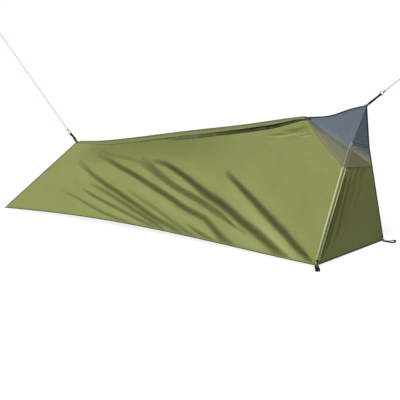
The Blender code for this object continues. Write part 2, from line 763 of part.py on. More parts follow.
def build_floor():
    """The groundsheet: flat on the ground, drawn up to its hems all round."""
    base = CLOTH_THICKNESS / 2
    rows = [0.0, 0.05, 0.10, 0.16, 0.25, 0.37, 0.50, 0.63, 0.75, 0.84, 0.90, 0.95, 1.0]
    columns = [k / 24 for k in range(24)] + [0.98, 1.0]
    sill = line(NEAR_HEAD, FAR_HEAD)
    grid = coons(near_hem, far_hem, foot_hem, sill, columns, rows)
    grid[:, :, 2] = base
    flat = CLOTH_FROM_BINDING
    grid = trimmed(grid, flat, flat, flat, flat, bottom_left=CORNER_CLEARANCE,
                   bottom_right=CORNER_CLEARANCE, top_right=CORNER_CLEARANCE,
                   top_left=CORNER_CLEARANCE)
    for i, v in enumerate(rows):
        for j, u in enumerate(columns):
            lifts = ((near_hem(u)[2], v * FLOOR_WIDTH), (far_hem(u)[2], (1.0 - v) * FLOOR_WIDTH),
                     (foot_hem(v)[2], u * FLOOR_LENGTH), (sill(v)[2], (1.0 - u) * FLOOR_LENGTH))
            rise = max((z - base) * smoothstep(1.0 - d / FLOOR_EDGE_BAND) for z, d in lifts)
            grid[i, j, 2] = base + rise
    finish(sheet("groundsheet", grid, CLOTH_THICKNESS), FLOOR_GREY, 0.55)


def build_bindings():
    """The rolled seams that join the cloth, and the patches at their corners and apexes."""
    corner = CORNER_PATCH_RADIUS + PATCH_GAP
    apex = APEX_PATCH_RADIUS + PATCH_GAP
    sill = line(NEAR_HEAD, FAR_HEAD)
    edges = (
        ("near_hem_binding", near_hem, HEM_STEPS, corner, corner),
        ("far_hem_binding", far_hem, HEM_STEPS, corner, corner),
        ("foot_hem_binding", foot_hem, SMALL_COLUMNS, corner, corner),
        ("door_sill_binding", sill, SMALL_COLUMNS, corner, corner),
        ("near_foot_edge_binding", line(NEAR_FOOT, FOOT_APEX), SMALL_COLUMNS, corner * 1.6, apex),
        ("far_foot_edge_binding", line(FAR_FOOT, FOOT_APEX), SMALL_COLUMNS, corner * 1.6, apex))
    for name, edge, steps, start, end in edges:
        roll = tube(name, stretch(edge, steps, start, end), BINDING_RADIUS)
        finish(roll, DARK_OLIVE, 0.7)

    roll = tube("ridge_webbing", stretch(ridge, RIDGE_STEPS, apex, apex), BINDING_RADIUS)
    finish(roll, BLACK, 0.65)
    hinge = stretch(line(FAR_HEAD, HINGE_TOP), 6, corner * 1.3, 0.0)
    top = stretch(line(HINGE_TOP, HEAD_APEX), 4, 0.0, apex)
    roll = tube("far_head_edge_binding", np.concatenate([hinge, top[1:]]), BINDING_RADIUS)
    finish(roll, DARK_OLIVE, 0.7)
    roll = tube("near_head_edge_binding", stretch(line(ZIP_TOP, HEAD_APEX), 4, TAPE_END, apex),
                BINDING_RADIUS)
    finish(roll, MESH_GREY, 0.6)

    for name, start, gap in (("near_mesh_seam_tape", NEAR_SEAM, CLOTH_FROM_ZIP + SEAM_TAPE_RADIUS),
                             ("far_mesh_seam_tape", FAR_SEAM, CLOTH_FROM_BINDING + SEAM_TAPE_RADIUS)):
        points = stretch(seam_edge(start), 2 * SEAM_ROWS, gap * 1.3, 2.0 * CLOTH_FROM_BINDING)
        finish(tube(name, points, SEAM_TAPE_RADIUS), DARK_OLIVE, 0.7)

    turn = [2 * math.pi * k / 20 for k in range(20)]
    disc = [(CORNER_PATCH_RADIUS * math.cos(a), CORNER_PATCH_RADIUS * math.sin(a)) for a in turn]
    for name, place in (("near_foot_corner_patch", NEAR_FOOT), ("far_foot_corner_patch", FAR_FOOT),
                        ("near_head_corner_patch", NEAR_HEAD), ("far_head_corner_patch", FAR_HEAD)):
        depth = 2 * (BINDING_RADIUS - SEAM_GAP / 2)
        patch = prism(name, disc, place, vec(1, 0, 0), vec(0, 1, 0), vec(0, 0, 1), depth)
        finish(patch, BLACK, 0.7)
    for name, place in (("foot_apex_patch", FOOT_APEX), ("head_apex_patch", HEAD_APEX)):
        finish(ball(name, place, APEX_PATCH_RADIUS), DARK_OLIVE, 0.7)


def ball(name, centre, radius):
    """A round gathered patch."""
    rings, sides = 8, 12
    vertices = [centre - vec(0, 0, radius)]
    for i in range(1, rings):
        tilt = math.pi * i / rings
        for m in range(sides):
            a = 2 * math.pi * m / sides
            vertices.append(centre + radius * vec(math.sin(tilt) * math.cos(a),
                                                  math.sin(tilt) * math.sin(a), -math.cos(tilt)))
    vertices.append(centre + vec(0, 0, radius))
    last = len(vertices) - 1
    faces = [(0, 1 + (m + 1) % sides, 1 + m) for m in range(sides)]
    for i in range(rings - 2):
        for m in range(sides):
            a, b = 1 + i * sides + m, 1 + i * sides + (m + 1) % sides
            faces.append((a, b, b + sides, a + sides))
    ring = 1 + (rings - 2) * sides
    faces += [(ring + m, ring + (m + 1) % sides, last) for m in range(sides)]
    return add_mesh(name, vertices, faces)


def build_ridge_cover():
    """The folded strip that covers the ridge over the cloth sides."""
    steps = RIDGE_STEPS * 3 // 4
    middle = stretch(cloth_ridge, steps, APEX_CLEARANCE + COVER_END_CLEARANCE, SEAM_GAP)
    lift = BINDING_RADIUS + SEAM_GAP + COVER_THICKNESS / 2
    whole = float(np.linalg.norm(middle[-1] - middle[0]))
    lines = []
    for side, width, standoff in ((-1.0, COVER_NEAR_WIDTH, COVER_STANDOFF),
                                  (1.0, COVER_FAR_WIDTH, COVER_STANDOFF / 2)):
        rows = []
        for share, rise in ((1.0, 1.0), (0.45, 0.6)):
            row = []
            for k, p in enumerate(middle):
                height = p[2]
                down = unit(vec(0.0, side * HALF_WIDTH, -height))
                out = unit(vec(0.0, side * height, HALF_WIDTH))
                t = k / (len(middle) - 1)
                full = smoothstep(min(t, 1 - t) * whole / COVER_TAPER_LENGTH)
                reach = lerp(COVER_END_WIDTH, width, full) * share
                row.append(p + down * reach + out * (lift + standoff * rise * lerp(0.35, 1.0, full)))
            rows.append(row)
        lines.append(rows)
    crown = [p + vec(0.0, 0.0, 1.6 * lift) for p in middle]
    near, far = lines
    grid = np.array([near[0], near[1], crown, far[1], far[0]])
    finish(sheet("ridge_cover", grid, COVER_THICKNESS), OLIVE, 0.72)


def zip_centre(place):
    """The middle of the closed zip, a length up from its bottom corner."""
    return NEAR_HEAD + ZIP_RUN * place - OUTWARD * ZIP_INSET


def zip_strip(name, side, sideways, start, end):
    """One zip tape: flat beside its coil, then bent round the corner to its piping."""
    grid = []
    for t in np.linspace(0.0, 1.0, 5):
        place = lerp(start, end, t)
        edge = NEAR_HEAD + ZIP_RUN * place
        grid.append([zip_centre(place) + sideways * TAPE_START,
                     zip_centre(place) + sideways * TAPE_BEND, edge + side * TAPE_END])
    return finish(facing_out(sheet(name, np.array(grid), ZIP_TAPE_THICKNESS)), DARK_OLIVE, 0.65)


def build_zip():
    """The near half of the zip, which stays, and the door half, which swings with the door."""
    end = ZIP_LENGTH - SEAM_GAP
    coil_end = end - ZIP_STOP_LENGTH - SEAM_GAP
    piping_end = float(np.linalg.norm(NEAR_SEAM - NEAR_HEAD)) - 2 * PIPING_RADIUS
    pieces = {}
    for prefix, side, sideways in (("side", INTO_SIDE, SIDEWAYS), ("door", INTO_DOOR, -SIDEWAYS)):
        ends = [zip_centre(place) + sideways * COIL_OFFSET for place in (ZIP_BOTTOM_GAP, coil_end)]
        coil = finish(tube(prefix + "_zip_coil", ends, COIL_RADIUS), DARK_OLIVE, 0.5)
        tape = zip_strip(prefix + "_zip_tape", side, sideways, ZIP_BOTTOM_GAP, end)
        ends = [NEAR_HEAD + ZIP_RUN * place + side * PIPING_PLACE
                for place in (ZIP_BOTTOM_GAP, piping_end)]
        piping = finish(tube(prefix + "_zip_piping", ends, PIPING_RADIUS), PALE_OLIVE, 0.6)
        pieces[prefix] = [coil, tape, piping]
    stop_middle = zip_centre(end - ZIP_STOP_LENGTH / 2) + SIDEWAYS * COIL_OFFSET
    half = COIL_RADIUS
    square = [(-half, -half), (half, -half), (half, half), (-half, half)]
    stop = prism("zip_top_stop", square, stop_middle, SIDEWAYS, OUTWARD,
                 np.cross(SIDEWAYS, OUTWARD), ZIP_STOP_LENGTH)
    finish(facing_out(stop), ZIP_METAL, 0.35, 1.0)
    return pieces["door"]


def build_slider():
    """The slider round the near coil, with its bail, and the pull that swings on the bail."""
    middle = zip_centre(ZIP_BOTTOM_GAP + SLIDER_START) + SIDEWAYS * COIL_OFFSET
    run = np.cross(SIDEWAYS, OUTWARD)
    inner = COIL_RADIUS + SLIDER_CLEARANCE
    outer = inner + SLIDER_PLATE
    reach = SLIDER_REACH
    web = inner + SLIDER_WEB
    outline = [(-web, -outer), (reach, -outer), (reach, -inner), (-inner, -inner),
               (-inner, inner), (reach, inner), (reach, outer), (-web, outer)]
    body = prism("zip_slider", outline, middle, SIDEWAYS, OUTWARD, run, SLIDER_LENGTH)
    facing_out(body)
    eye_inner = BAIL_RADIUS + PULL_CLEARANCE
    eye_outer = eye_inner + PULL_EYE_WALL
    bail_height = outer + eye_outer + PULL_CLEARANCE
    across_gap = PULL_EYE_WIDTH / 2 + PULL_CLEARANCE
    centre = middle + OUTWARD * bail_height + SIDEWAYS * (reach - web) / 2
    turn = [2 * math.pi * k / 12 for k in range(12)]
    round_bar = [(BAIL_RADIUS * math.cos(a), BAIL_RADIUS * math.sin(a)) for a in turn]
    bar = prism("bail_bar", round_bar, centre, OUTWARD, run, SIDEWAYS,
                2 * (across_gap + LUG_THICKNESS))
    facing_out(bar)
    lugs = []
    for name, side in (("bail_lug_low", -1.0), ("bail_lug_high", 1.0)):
        place = centre + SIDEWAYS * side * (across_gap + LUG_THICKNESS / 2)
        low = -(bail_height - outer + SLIDER_PLATE / 2)
        high = BAIL_RADIUS + LUG_THICKNESS
        wide = 2 * BAIL_RADIUS
        plate = [(-wide, low), (wide, low), (wide, high), (-wide, high)]
        lugs.append(facing_out(prism(name, plate, place, ZIP_RUN, OUTWARD,
                                     np.cross(ZIP_RUN, OUTWARD), LUG_THICKNESS)))
    finish(merged(body, *lugs, bar), ZIP_METAL, 0.35, 1.0)

    sides = 16
    ring = [2 * math.pi * k / sides for k in range(sides)]
    down = -ZIP_RUN
    vertices = []
    for shift in (-PULL_EYE_WIDTH / 2, PULL_EYE_WIDTH / 2):
        for radius in (eye_inner, eye_outer):
            for a in ring:
                offset = down * math.cos(a) * radius + OUTWARD * math.sin(a) * radius
                vertices.append(centre + SIDEWAYS * shift + offset)
    faces = []
    for k in range(sides):
        n = (k + 1) % sides
        inside, outside, far_inside, far_outside = 0, sides, 2 * sides, 3 * sides
        faces.append((inside + k, outside + k, outside + n, inside + n))
        faces.append((far_inside + n, far_outside + n, far_outside + k, far_inside + k))
        faces.append((outside + k, far_outside + k, far_outside + n, outside + n))
        faces.append((inside + n, far_inside + n, far_inside + k, inside + k))
    eye = facing_out(add_mesh("zip_pull", vertices, faces))
    half, neck = PULL_WIDTH / 2, 0.8 * PULL_EYE_WIDTH / 2
    start = eye_inner + PULL_EYE_WALL / 2
    shoulder = start + 0.4 * PULL_LENGTH
    blade = [(start, -neck), (shoulder, -half), (PULL_LENGTH, -half),
             (PULL_LENGTH, half), (shoulder, half), (start, neck)]
    tab = facing_out(prism("pull_blade", blade, centre, down, SIDEWAYS,
                           np.cross(down, SIDEWAYS), PULL_THICKNESS))
    finish(merged(eye, tab), DARK_OLIVE, 0.5)
    slide = pivot_at("zip_slide_axis", middle)
    carried_by(slide, body, bar, *lugs)
    swing = pivot_at("pull_swing_axis", centre, slide)
    carried_by(swing, eye, tab)
    return {"zip_slide_axis": middle, "pull_swing_axis": centre}


def build_door(zip_half):
    """The door in the head end: cloth below, mesh above, hung on the far head edge."""
    low_gap = BINDING_RADIUS + DOOR_SILL_GAP
    sill = line(NEAR_HEAD, FAR_HEAD)
    seam = line(NEAR_SEAM, FAR_SEAM)
    top = line(ZIP_TOP, HINGE_TOP)
    inward = -unit(vec(HEAD_HEIGHT, 0.0, -HEAD_OVERHANG))
    hinge_gap = BINDING_RADIUS + HINGE_GAP

    cloth = coons(sill, seam, line(NEAR_HEAD, NEAR_SEAM), line(FAR_HEAD, FAR_SEAM),
                  SMALL_COLUMNS, SMALL_ROWS)
    cloth = sagged(cloth, inward, DOOR_SAG)
    hem_line = trimmed(cloth, low_gap + DOOR_HEM_RADIUS, 0.0, 0.0, 0.0)[0]
    hem_start = float(np.linalg.norm(hem_line[0] - NEAR_HEAD)) + PIPING_PLACE
    points = stretch(polyline(hem_line), SMALL_COLUMNS, hem_start, 3.2 * hinge_gap)
    hem = finish(tube("door_hem_binding", points, DOOR_HEM_RADIUS), DARK_OLIVE, 0.7)

    cloth = trimmed(cloth, low_gap + 2 * DOOR_HEM_RADIUS + SEAM_GAP, hinge_gap, CLOTH_FROM_SEAM,
                    CLOTH_FROM_ZIP, bottom_left=ZIP_BOTTOM_GAP)
    panel = finish(sheet("door_panel", cloth, CLOTH_THICKNESS), OLIVE, 0.72)

    points = stretch(seam, SMALL_COLUMNS, CLOTH_FROM_ZIP, 2.0 * hinge_gap)
    tape = finish(tube("door_mesh_seam_tape", points, SEAM_TAPE_RADIUS), DARK_OLIVE, 0.7)

    mesh = coons(seam, top, line(NEAR_SEAM, ZIP_TOP), line(FAR_SEAM, HINGE_TOP),
                 SMALL_COLUMNS, SMALL_ROWS // 2)
    mesh = trimmed(mesh, CLOTH_FROM_SEAM, hinge_gap, DOOR_TOP_GAP, MESH_FROM_ZIP)
    window = finish(sheet("door_mesh_panel", mesh, MESH_THICKNESS), MESH_GREY, 0.6)
    hinge = pivot_at("door_hinge_axis", FAR_HEAD)
    carried_by(hinge, hem, panel, tape, window, *zip_half)


def build_peg_loops():
    """The three webbing loops that take the pegs, each sewn under a hem."""
    path = teardrop(PEG_LOOP_SEWN_LENGTH, PEG_LOOP_LENGTH, PEG_LOOP_EYE_HEIGHT, WEBBING_THICKNESS)
    heading = math.radians(NEAR_LOOP_HEADING)
    near_forward = vec(math.cos(heading), math.sin(heading), 0.0)
    seat = CORNER_PATCH_RADIUS + PATCH_GAP
    drop = NEAR_HEAD[2] - BINDING_RADIUS
    tip_centre = PEG_LOOP_LENGTH - PEG_LOOP_EYE_HEIGHT / 2 - WEBBING_THICKNESS
    near_pitch = math.asin((drop - PATCH_GAP) / tip_centre)
    near_start = NEAR_HEAD + near_forward * seat
    foot_start = foot_hem(0.5) - vec(BINDING_RADIUS + PATCH_GAP, 0.0, 0.0)
    beside = FAR_LOOP_SHIFT - PEG_LOOP_WIDTH / 2
    far_reach = math.sqrt(max(0.0, CORNER_PATCH_RADIUS ** 2 - beside ** 2))
    far_start = FAR_HEAD + vec(far_reach + PATCH_GAP, -FAR_LOOP_SHIFT, 0.0)
    pivots = {}
    for name, start, forward, pitch in (
            ("near_head_peg_loop", near_start, near_forward, near_pitch),
            ("far_head_peg_loop", far_start, vec(1.0, 0.0, 0.0), 0.0),
            ("foot_peg_loop", foot_start, vec(-1.0, 0.0, 0.0), 0.0)):
        up = vec(0.0, 0.0, 1.0)
        ahead = forward * math.cos(pitch) - up * math.sin(pitch)
        above = up * math.cos(pitch) + forward * math.sin(pitch)
        origin = vec(start[0], start[1], drop * (pitch > 0))
        loop = webbing_ring(name, path, origin, ahead, above, PEG_LOOP_WIDTH, WEBBING_THICKNESS)
        finish(facing_out(loop), BLACK, 0.65)
        low, high = PEG_LOOP_SEWN_LENGTH / 2, PEG_LOOP_SEWN_LENGTH / 2 + TACK_LENGTH
        stack = 2 * WEBBING_THICKNESS + STRAND_GAP + PATCH_GAP
        outline = [(low, stack), (high, stack), (high, stack + TACK_HEIGHT), (low, stack + TACK_HEIGHT)]
        tack = prism(name.replace("peg_loop", "loop_tack"), outline, origin, ahead, above,
                     np.cross(ahead, above), PEG_LOOP_WIDTH * 0.8)
        finish(facing_out(tack), TACK_GREY, 0.6)
        root_top = origin + above * (2 * WEBBING_THICKNESS + STRAND_GAP)
        pivot = pivot_at(name + "_axis", root_top)
        carried_by(pivot, loop, tack)
        pivots[name + "_axis"] = root_top
    return pivots


def bight(straight, spread, length, count):
    """A loop of cord, as places ahead of and beside the knot that both its ends enter.

    Its far end runs straight across for a length, and it is as wide as spread.
    """
    radius = (spread - straight) / 2
    beside = 0.6 * CORD_DIAMETER
    turn = [math.radians(a) for a in np.linspace(100, 180, count)]
    half = [(-length + radius + radius * math.cos(a), straight / 2 + radius * math.sin(a))
            for a in turn]
    first = half[0]
    flare = [(first[0] * t, beside + (first[1] - beside) * smoothstep(t))
             for t in (0.2, 0.4, 0.6, 0.8)]
    half = [(KNOT_LENGTH * 0.45, beside), (0.0, beside)] + flare + half
    other = [(p[0], -p[1]) for p in reversed(half)]
    return half + (other if straight > 0 else other[1:])


def build_guys():
    """The webbing tabs at the apexes and the guy lines that hold them up.

    Each tab is sewn into the end of the ridge seam, so its flat faces look to the sides.
    """
    above = vec(0.0, -1.0, 0.0)
    for end, apex, heading, rise, tab_length, tab_width, cord_length in (
            ("head", HEAD_APEX, 1.0, HEAD_GUY_RISE, HEAD_TAB_LENGTH, HEAD_TAB_WIDTH,
             HEAD_GUY_LENGTH),
            ("foot", FOOT_APEX, -1.0, FOOT_GUY_RISE, FOOT_TAB_LENGTH, FOOT_TAB_WIDTH,
             FOOT_GUY_LENGTH)):
        tilt = math.radians(rise)
        ahead = vec(heading * math.cos(tilt), 0.0, math.sin(tilt))
        wide = vec(-heading * math.sin(tilt), 0.0, math.cos(tilt))
        middle = WEBBING_THICKNESS + STRAND_GAP / 2
        origin = apex + ahead * (APEX_PATCH_RADIUS + PATCH_GAP) - above * middle
        path = teardrop(tab_length - TAB_EYE_LENGTH, tab_length, TAB_EYE_HEIGHT, WEBBING_THICKNESS)
        tab = webbing_ring(end + "_guy_tab", path, origin, ahead, above, tab_width,
                           WEBBING_THICKNESS)
        finish(facing_out(tab), BLACK, 0.65)

        radius = CORD_DIAMETER / 2
        eye = origin + ahead * (tab_length - WEBBING_THICKNESS - PATCH_GAP - radius)
        eye = eye + above * (WEBBING_THICKNESS + TAB_EYE_HEIGHT / 2)
        knot_start = eye + ahead * BIGHT_LENGTH
        held = bight(tab_width + 2 * PATCH_GAP, tab_width + BIGHT_SPREAD, BIGHT_LENGTH, 6)
        points = [knot_start + ahead * p[0] + wide * p[1] for p in held]
        loop = facing_out(strand(end + "_bight", points, above, radius))
        knot = body_of_turns(end + "_guy_knot", knot_start, ahead, KNOT_LENGTH, KNOT_RADIUS,
                             KNOT_TURNS)
        finish(merged(facing_out(knot), loop), GUY_PINK, 0.6)

        start = knot_start + ahead * (KNOT_LENGTH + PATCH_GAP)
        finish_point = start + ahead * cord_length
        count = min(64, int(cord_length / (CORD_STEP * CORD_DIAMETER)))
        cord = tube(end + "_guy_line", [lerp(start, finish_point, k / count)
                                        for k in range(count + 1)], radius)
        finish(cord, GUY_PINK, 0.6)

        loop_start = finish_point + ahead * PATCH_GAP
        hooked = bight(0.0, END_LOOP_SPREAD, END_LOOP_LENGTH, 9)
        points = [loop_start + ahead * (KNOT_LENGTH - p[0]) + wide * p[1] for p in hooked]
        loop = facing_out(strand(end + "_end_bight", points, above, radius))
        knot = body_of_turns(end + "_guy_end_loop", loop_start, ahead, KNOT_LENGTH, KNOT_RADIUS,
                             KNOT_TURNS)
        finish(merged(facing_out(knot), loop), GUY_PINK, 0.6)


CORD_PIECES = ("head_guy_knot", "head_guy_line", "head_guy_end_loop",
               "foot_guy_knot", "foot_guy_line", "foot_guy_end_loop")


def centre_on_origin(marks):
    """Puts the middle of the tent's footprint, guy lines apart, over the origin."""
    bpy.context.view_layer.update()
    graph = bpy.context.evaluated_depsgraph_get()
    low = np.full(3, np.inf)
    high = -low
    for name, obj in OBJECTS.items():
        if name not in CORD_PIECES:
            evaluated = obj.evaluated_get(graph)
            mesh = evaluated.to_mesh()
            places = np.array([tuple(obj.matrix_world @ v.co) for v in mesh.vertices])
            evaluated.to_mesh_clear()
            low, high = np.minimum(low, places.min(axis=0)), np.maximum(high, places.max(axis=0))
    shift = Vector((-(low[0] + high[0]) / 2, -(low[1] + high[1]) / 2, -low[2]))
    tent = pivot_at("tent", (0.0, 0.0, 0.0))
    for obj in list(bpy.data.objects):
        if obj.parent is None and obj is not tent:
            carried_by(tent, obj)
    tent.location = shift
    bpy.context.view_layer.update()
    for name, place in marks.items():
        print(name, [round(float(c), 5) for c in place + np.array(shift)])


def build():
    """Builds the whole tent."""
    clear_scene()
    build_floor()
    build_sides()
    build_mesh_peak()
    build_bindings()
    build_ridge_cover()
    door_zip = build_zip()
    marks = build_slider()
    build_door(door_zip)
    marks.update(build_peg_loops())
    build_guys()
    marks.update({"door_hinge_axis": FAR_HEAD, "hinge_top": HINGE_TOP, "zip_top": ZIP_TOP,
                  "near_head": NEAR_HEAD, "near_foot": NEAR_FOOT, "foot_apex": FOOT_APEX,
                  "head_apex": HEAD_APEX})
    centre_on_origin(marks)
    print("zip run", [round(float(c), 5) for c in ZIP_RUN])
    print("sideways", [round(float(c), 5) for c in SIDEWAYS])
    print("outward", [round(float(c), 5) for c in OUTWARD])
    print("hinge run", [round(float(c), 5) for c in HINGE_RUN])


build()
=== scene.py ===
"""Looks of the one-person hung tent: cloth, mesh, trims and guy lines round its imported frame.

The tent lies along X with its foot at -X, its head at +X and its near side at -Y. Places are
worked out with the middle of the floor at the origin, and then moved to the frame's origin.
All sizes are in metres.
"""
import logging
import math
from collections.abc import Callable, Sequence
from dataclasses import dataclass, field
from enum import Enum

import bmesh
import bpy
import numpy as np
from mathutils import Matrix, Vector


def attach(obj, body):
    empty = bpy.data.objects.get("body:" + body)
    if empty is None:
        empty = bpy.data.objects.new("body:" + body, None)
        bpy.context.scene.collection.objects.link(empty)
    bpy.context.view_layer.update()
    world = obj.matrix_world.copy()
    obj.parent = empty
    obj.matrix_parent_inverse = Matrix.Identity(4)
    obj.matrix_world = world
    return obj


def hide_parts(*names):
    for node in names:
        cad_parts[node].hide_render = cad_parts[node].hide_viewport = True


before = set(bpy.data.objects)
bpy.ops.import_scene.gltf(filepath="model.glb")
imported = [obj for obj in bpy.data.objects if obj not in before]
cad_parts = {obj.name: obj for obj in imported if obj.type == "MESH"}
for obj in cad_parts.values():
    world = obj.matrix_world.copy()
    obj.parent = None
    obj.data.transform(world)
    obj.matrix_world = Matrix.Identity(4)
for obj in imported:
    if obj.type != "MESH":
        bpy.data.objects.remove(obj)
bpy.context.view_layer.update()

LOG = logging.getLogger("hung_tent")
Array = np.ndarray
Edge = Callable[[Array], Array]
Colour = tuple[float, float, float]
TO_FRAME = np.array((-0.05253, 0.03449, 0.0))
STITCH_PITCH = 0.0042
STITCH_SHARE = 0.68
STITCH_REACH = 0.0005
SHEET_MARGIN = 0.001
SMOOTH_ALL = 180.0
FINE_STEPS = 600
MIX_COLOURS = (6, 7)
MIX_RESULT = 2


def vec(x: float, y: float, z: float) -> Array:
    """A point or direction."""
    return np.array((x, y, z), float)


def unit(v: Array) -> Array:
    """The direction of v at length one."""
    return v / np.linalg.norm(v)


def units(rows: Array) -> Array:
    """Each row at length one."""
    return rows / np.linalg.norm(rows, axis=1)[:, None]


def distance(a: Array, b: Array) -> float:
    """How far a lies from b."""
    return float(np.linalg.norm(a - b))


def between(a: Array, b: Array, t: Array | float) -> Array:
    """The points at shares t of the way from a to b."""
    return a + (b - a) * np.asarray(t, float)[..., None]


def across(a: Array, direction: Array) -> Array:
    """The part of direction at right angles to the unit vector a, at length one."""
    return unit(direction - a * np.dot(direction, a))


def smooth(t: Array | float) -> Array:
    """A share eased at both ends."""
    t = np.clip(t, 0.0, 1.0)
    return t * t * (3.0 - 2.0 * t)


def hill(x: Array, middle: float, reach: float) -> Array:
    """A smooth hill of height one about a middle."""
    return np.exp(-(((x - middle) / reach) ** 2))


def grey_of(level: float) -> tuple[float, float, float, float]:
    """A grey with its alpha."""
    return (level, level, level, 1.0)


def toned(colour: Colour, factor: float) -> Colour:
    """A colour made darker or lighter by a factor."""
    return tuple(c * factor for c in colour)


def arch(t: Array | float) -> Array:
    """A bow of height one between its two ends."""
    t = np.asarray(t, float)
    return 4 * t * (1 - t)


def line(a: Array, b: Array) -> Edge:
    """A straight edge from a to b."""
    return lambda t: between(a, b, t)


def joined(first: Edge, second: Edge, share: float) -> Edge:
    """One edge made of two.

    Args:
        first: The edge up to the share.
        second: The edge after it.
        share: Where the first gives way to the second.

    Returns:
        The joined edge.
    """
    def edge(t: Array) -> Array:
        """Points of the joined edge.

        Args:
            t: Shares of the way along.

        Returns:
            The points.
        """
        t = np.asarray(t, float)
        low = first(np.clip(t / share, 0, 1))
        high = second(np.clip((t - share) / (1 - share), 0, 1))
        return np.where((t <= share)[..., None], low, high)
    return edge


def reaches(points: Array) -> Array:
    """How far along a path each of its points lies."""
    return np.concatenate([[0.0], np.cumsum(np.linalg.norm(np.diff(points, axis=0), axis=1))])


def through(points: Array) -> Edge:
    """An edge through points.

    Args:
        points: The points, in turn.

    Returns:
        The edge, counted by length.
    """
    reach = reaches(points)
    reach /= reach[-1]

    def edge(t: Array) -> Array:
        """Points of the edge."""
        return np.stack([np.interp(t, reach, points[:, k]) for k in range(3)], axis=-1)
    return edge


def stretch(edge: Edge, step: float, start: float, end: float) -> Array:
    """Evenly spaced points along an edge.

    Args:
        edge: The edge to follow.
        step: The distance between points.
        start: How far from the edge's start the first point lies.
        end: How far from the edge's end the last point lies.

    Returns:
        The points, one row each.
    """
    fine = edge(np.linspace(0, 1, FINE_STEPS))
    reach = reaches(fine)
    count = max(2, int(round((reach[-1] - start - end) / step)) + 1)
    wanted = np.linspace(start, reach[-1] - end, count)
    return np.stack([np.interp(wanted, reach, fine[:, k]) for k in range(3)], axis=1)


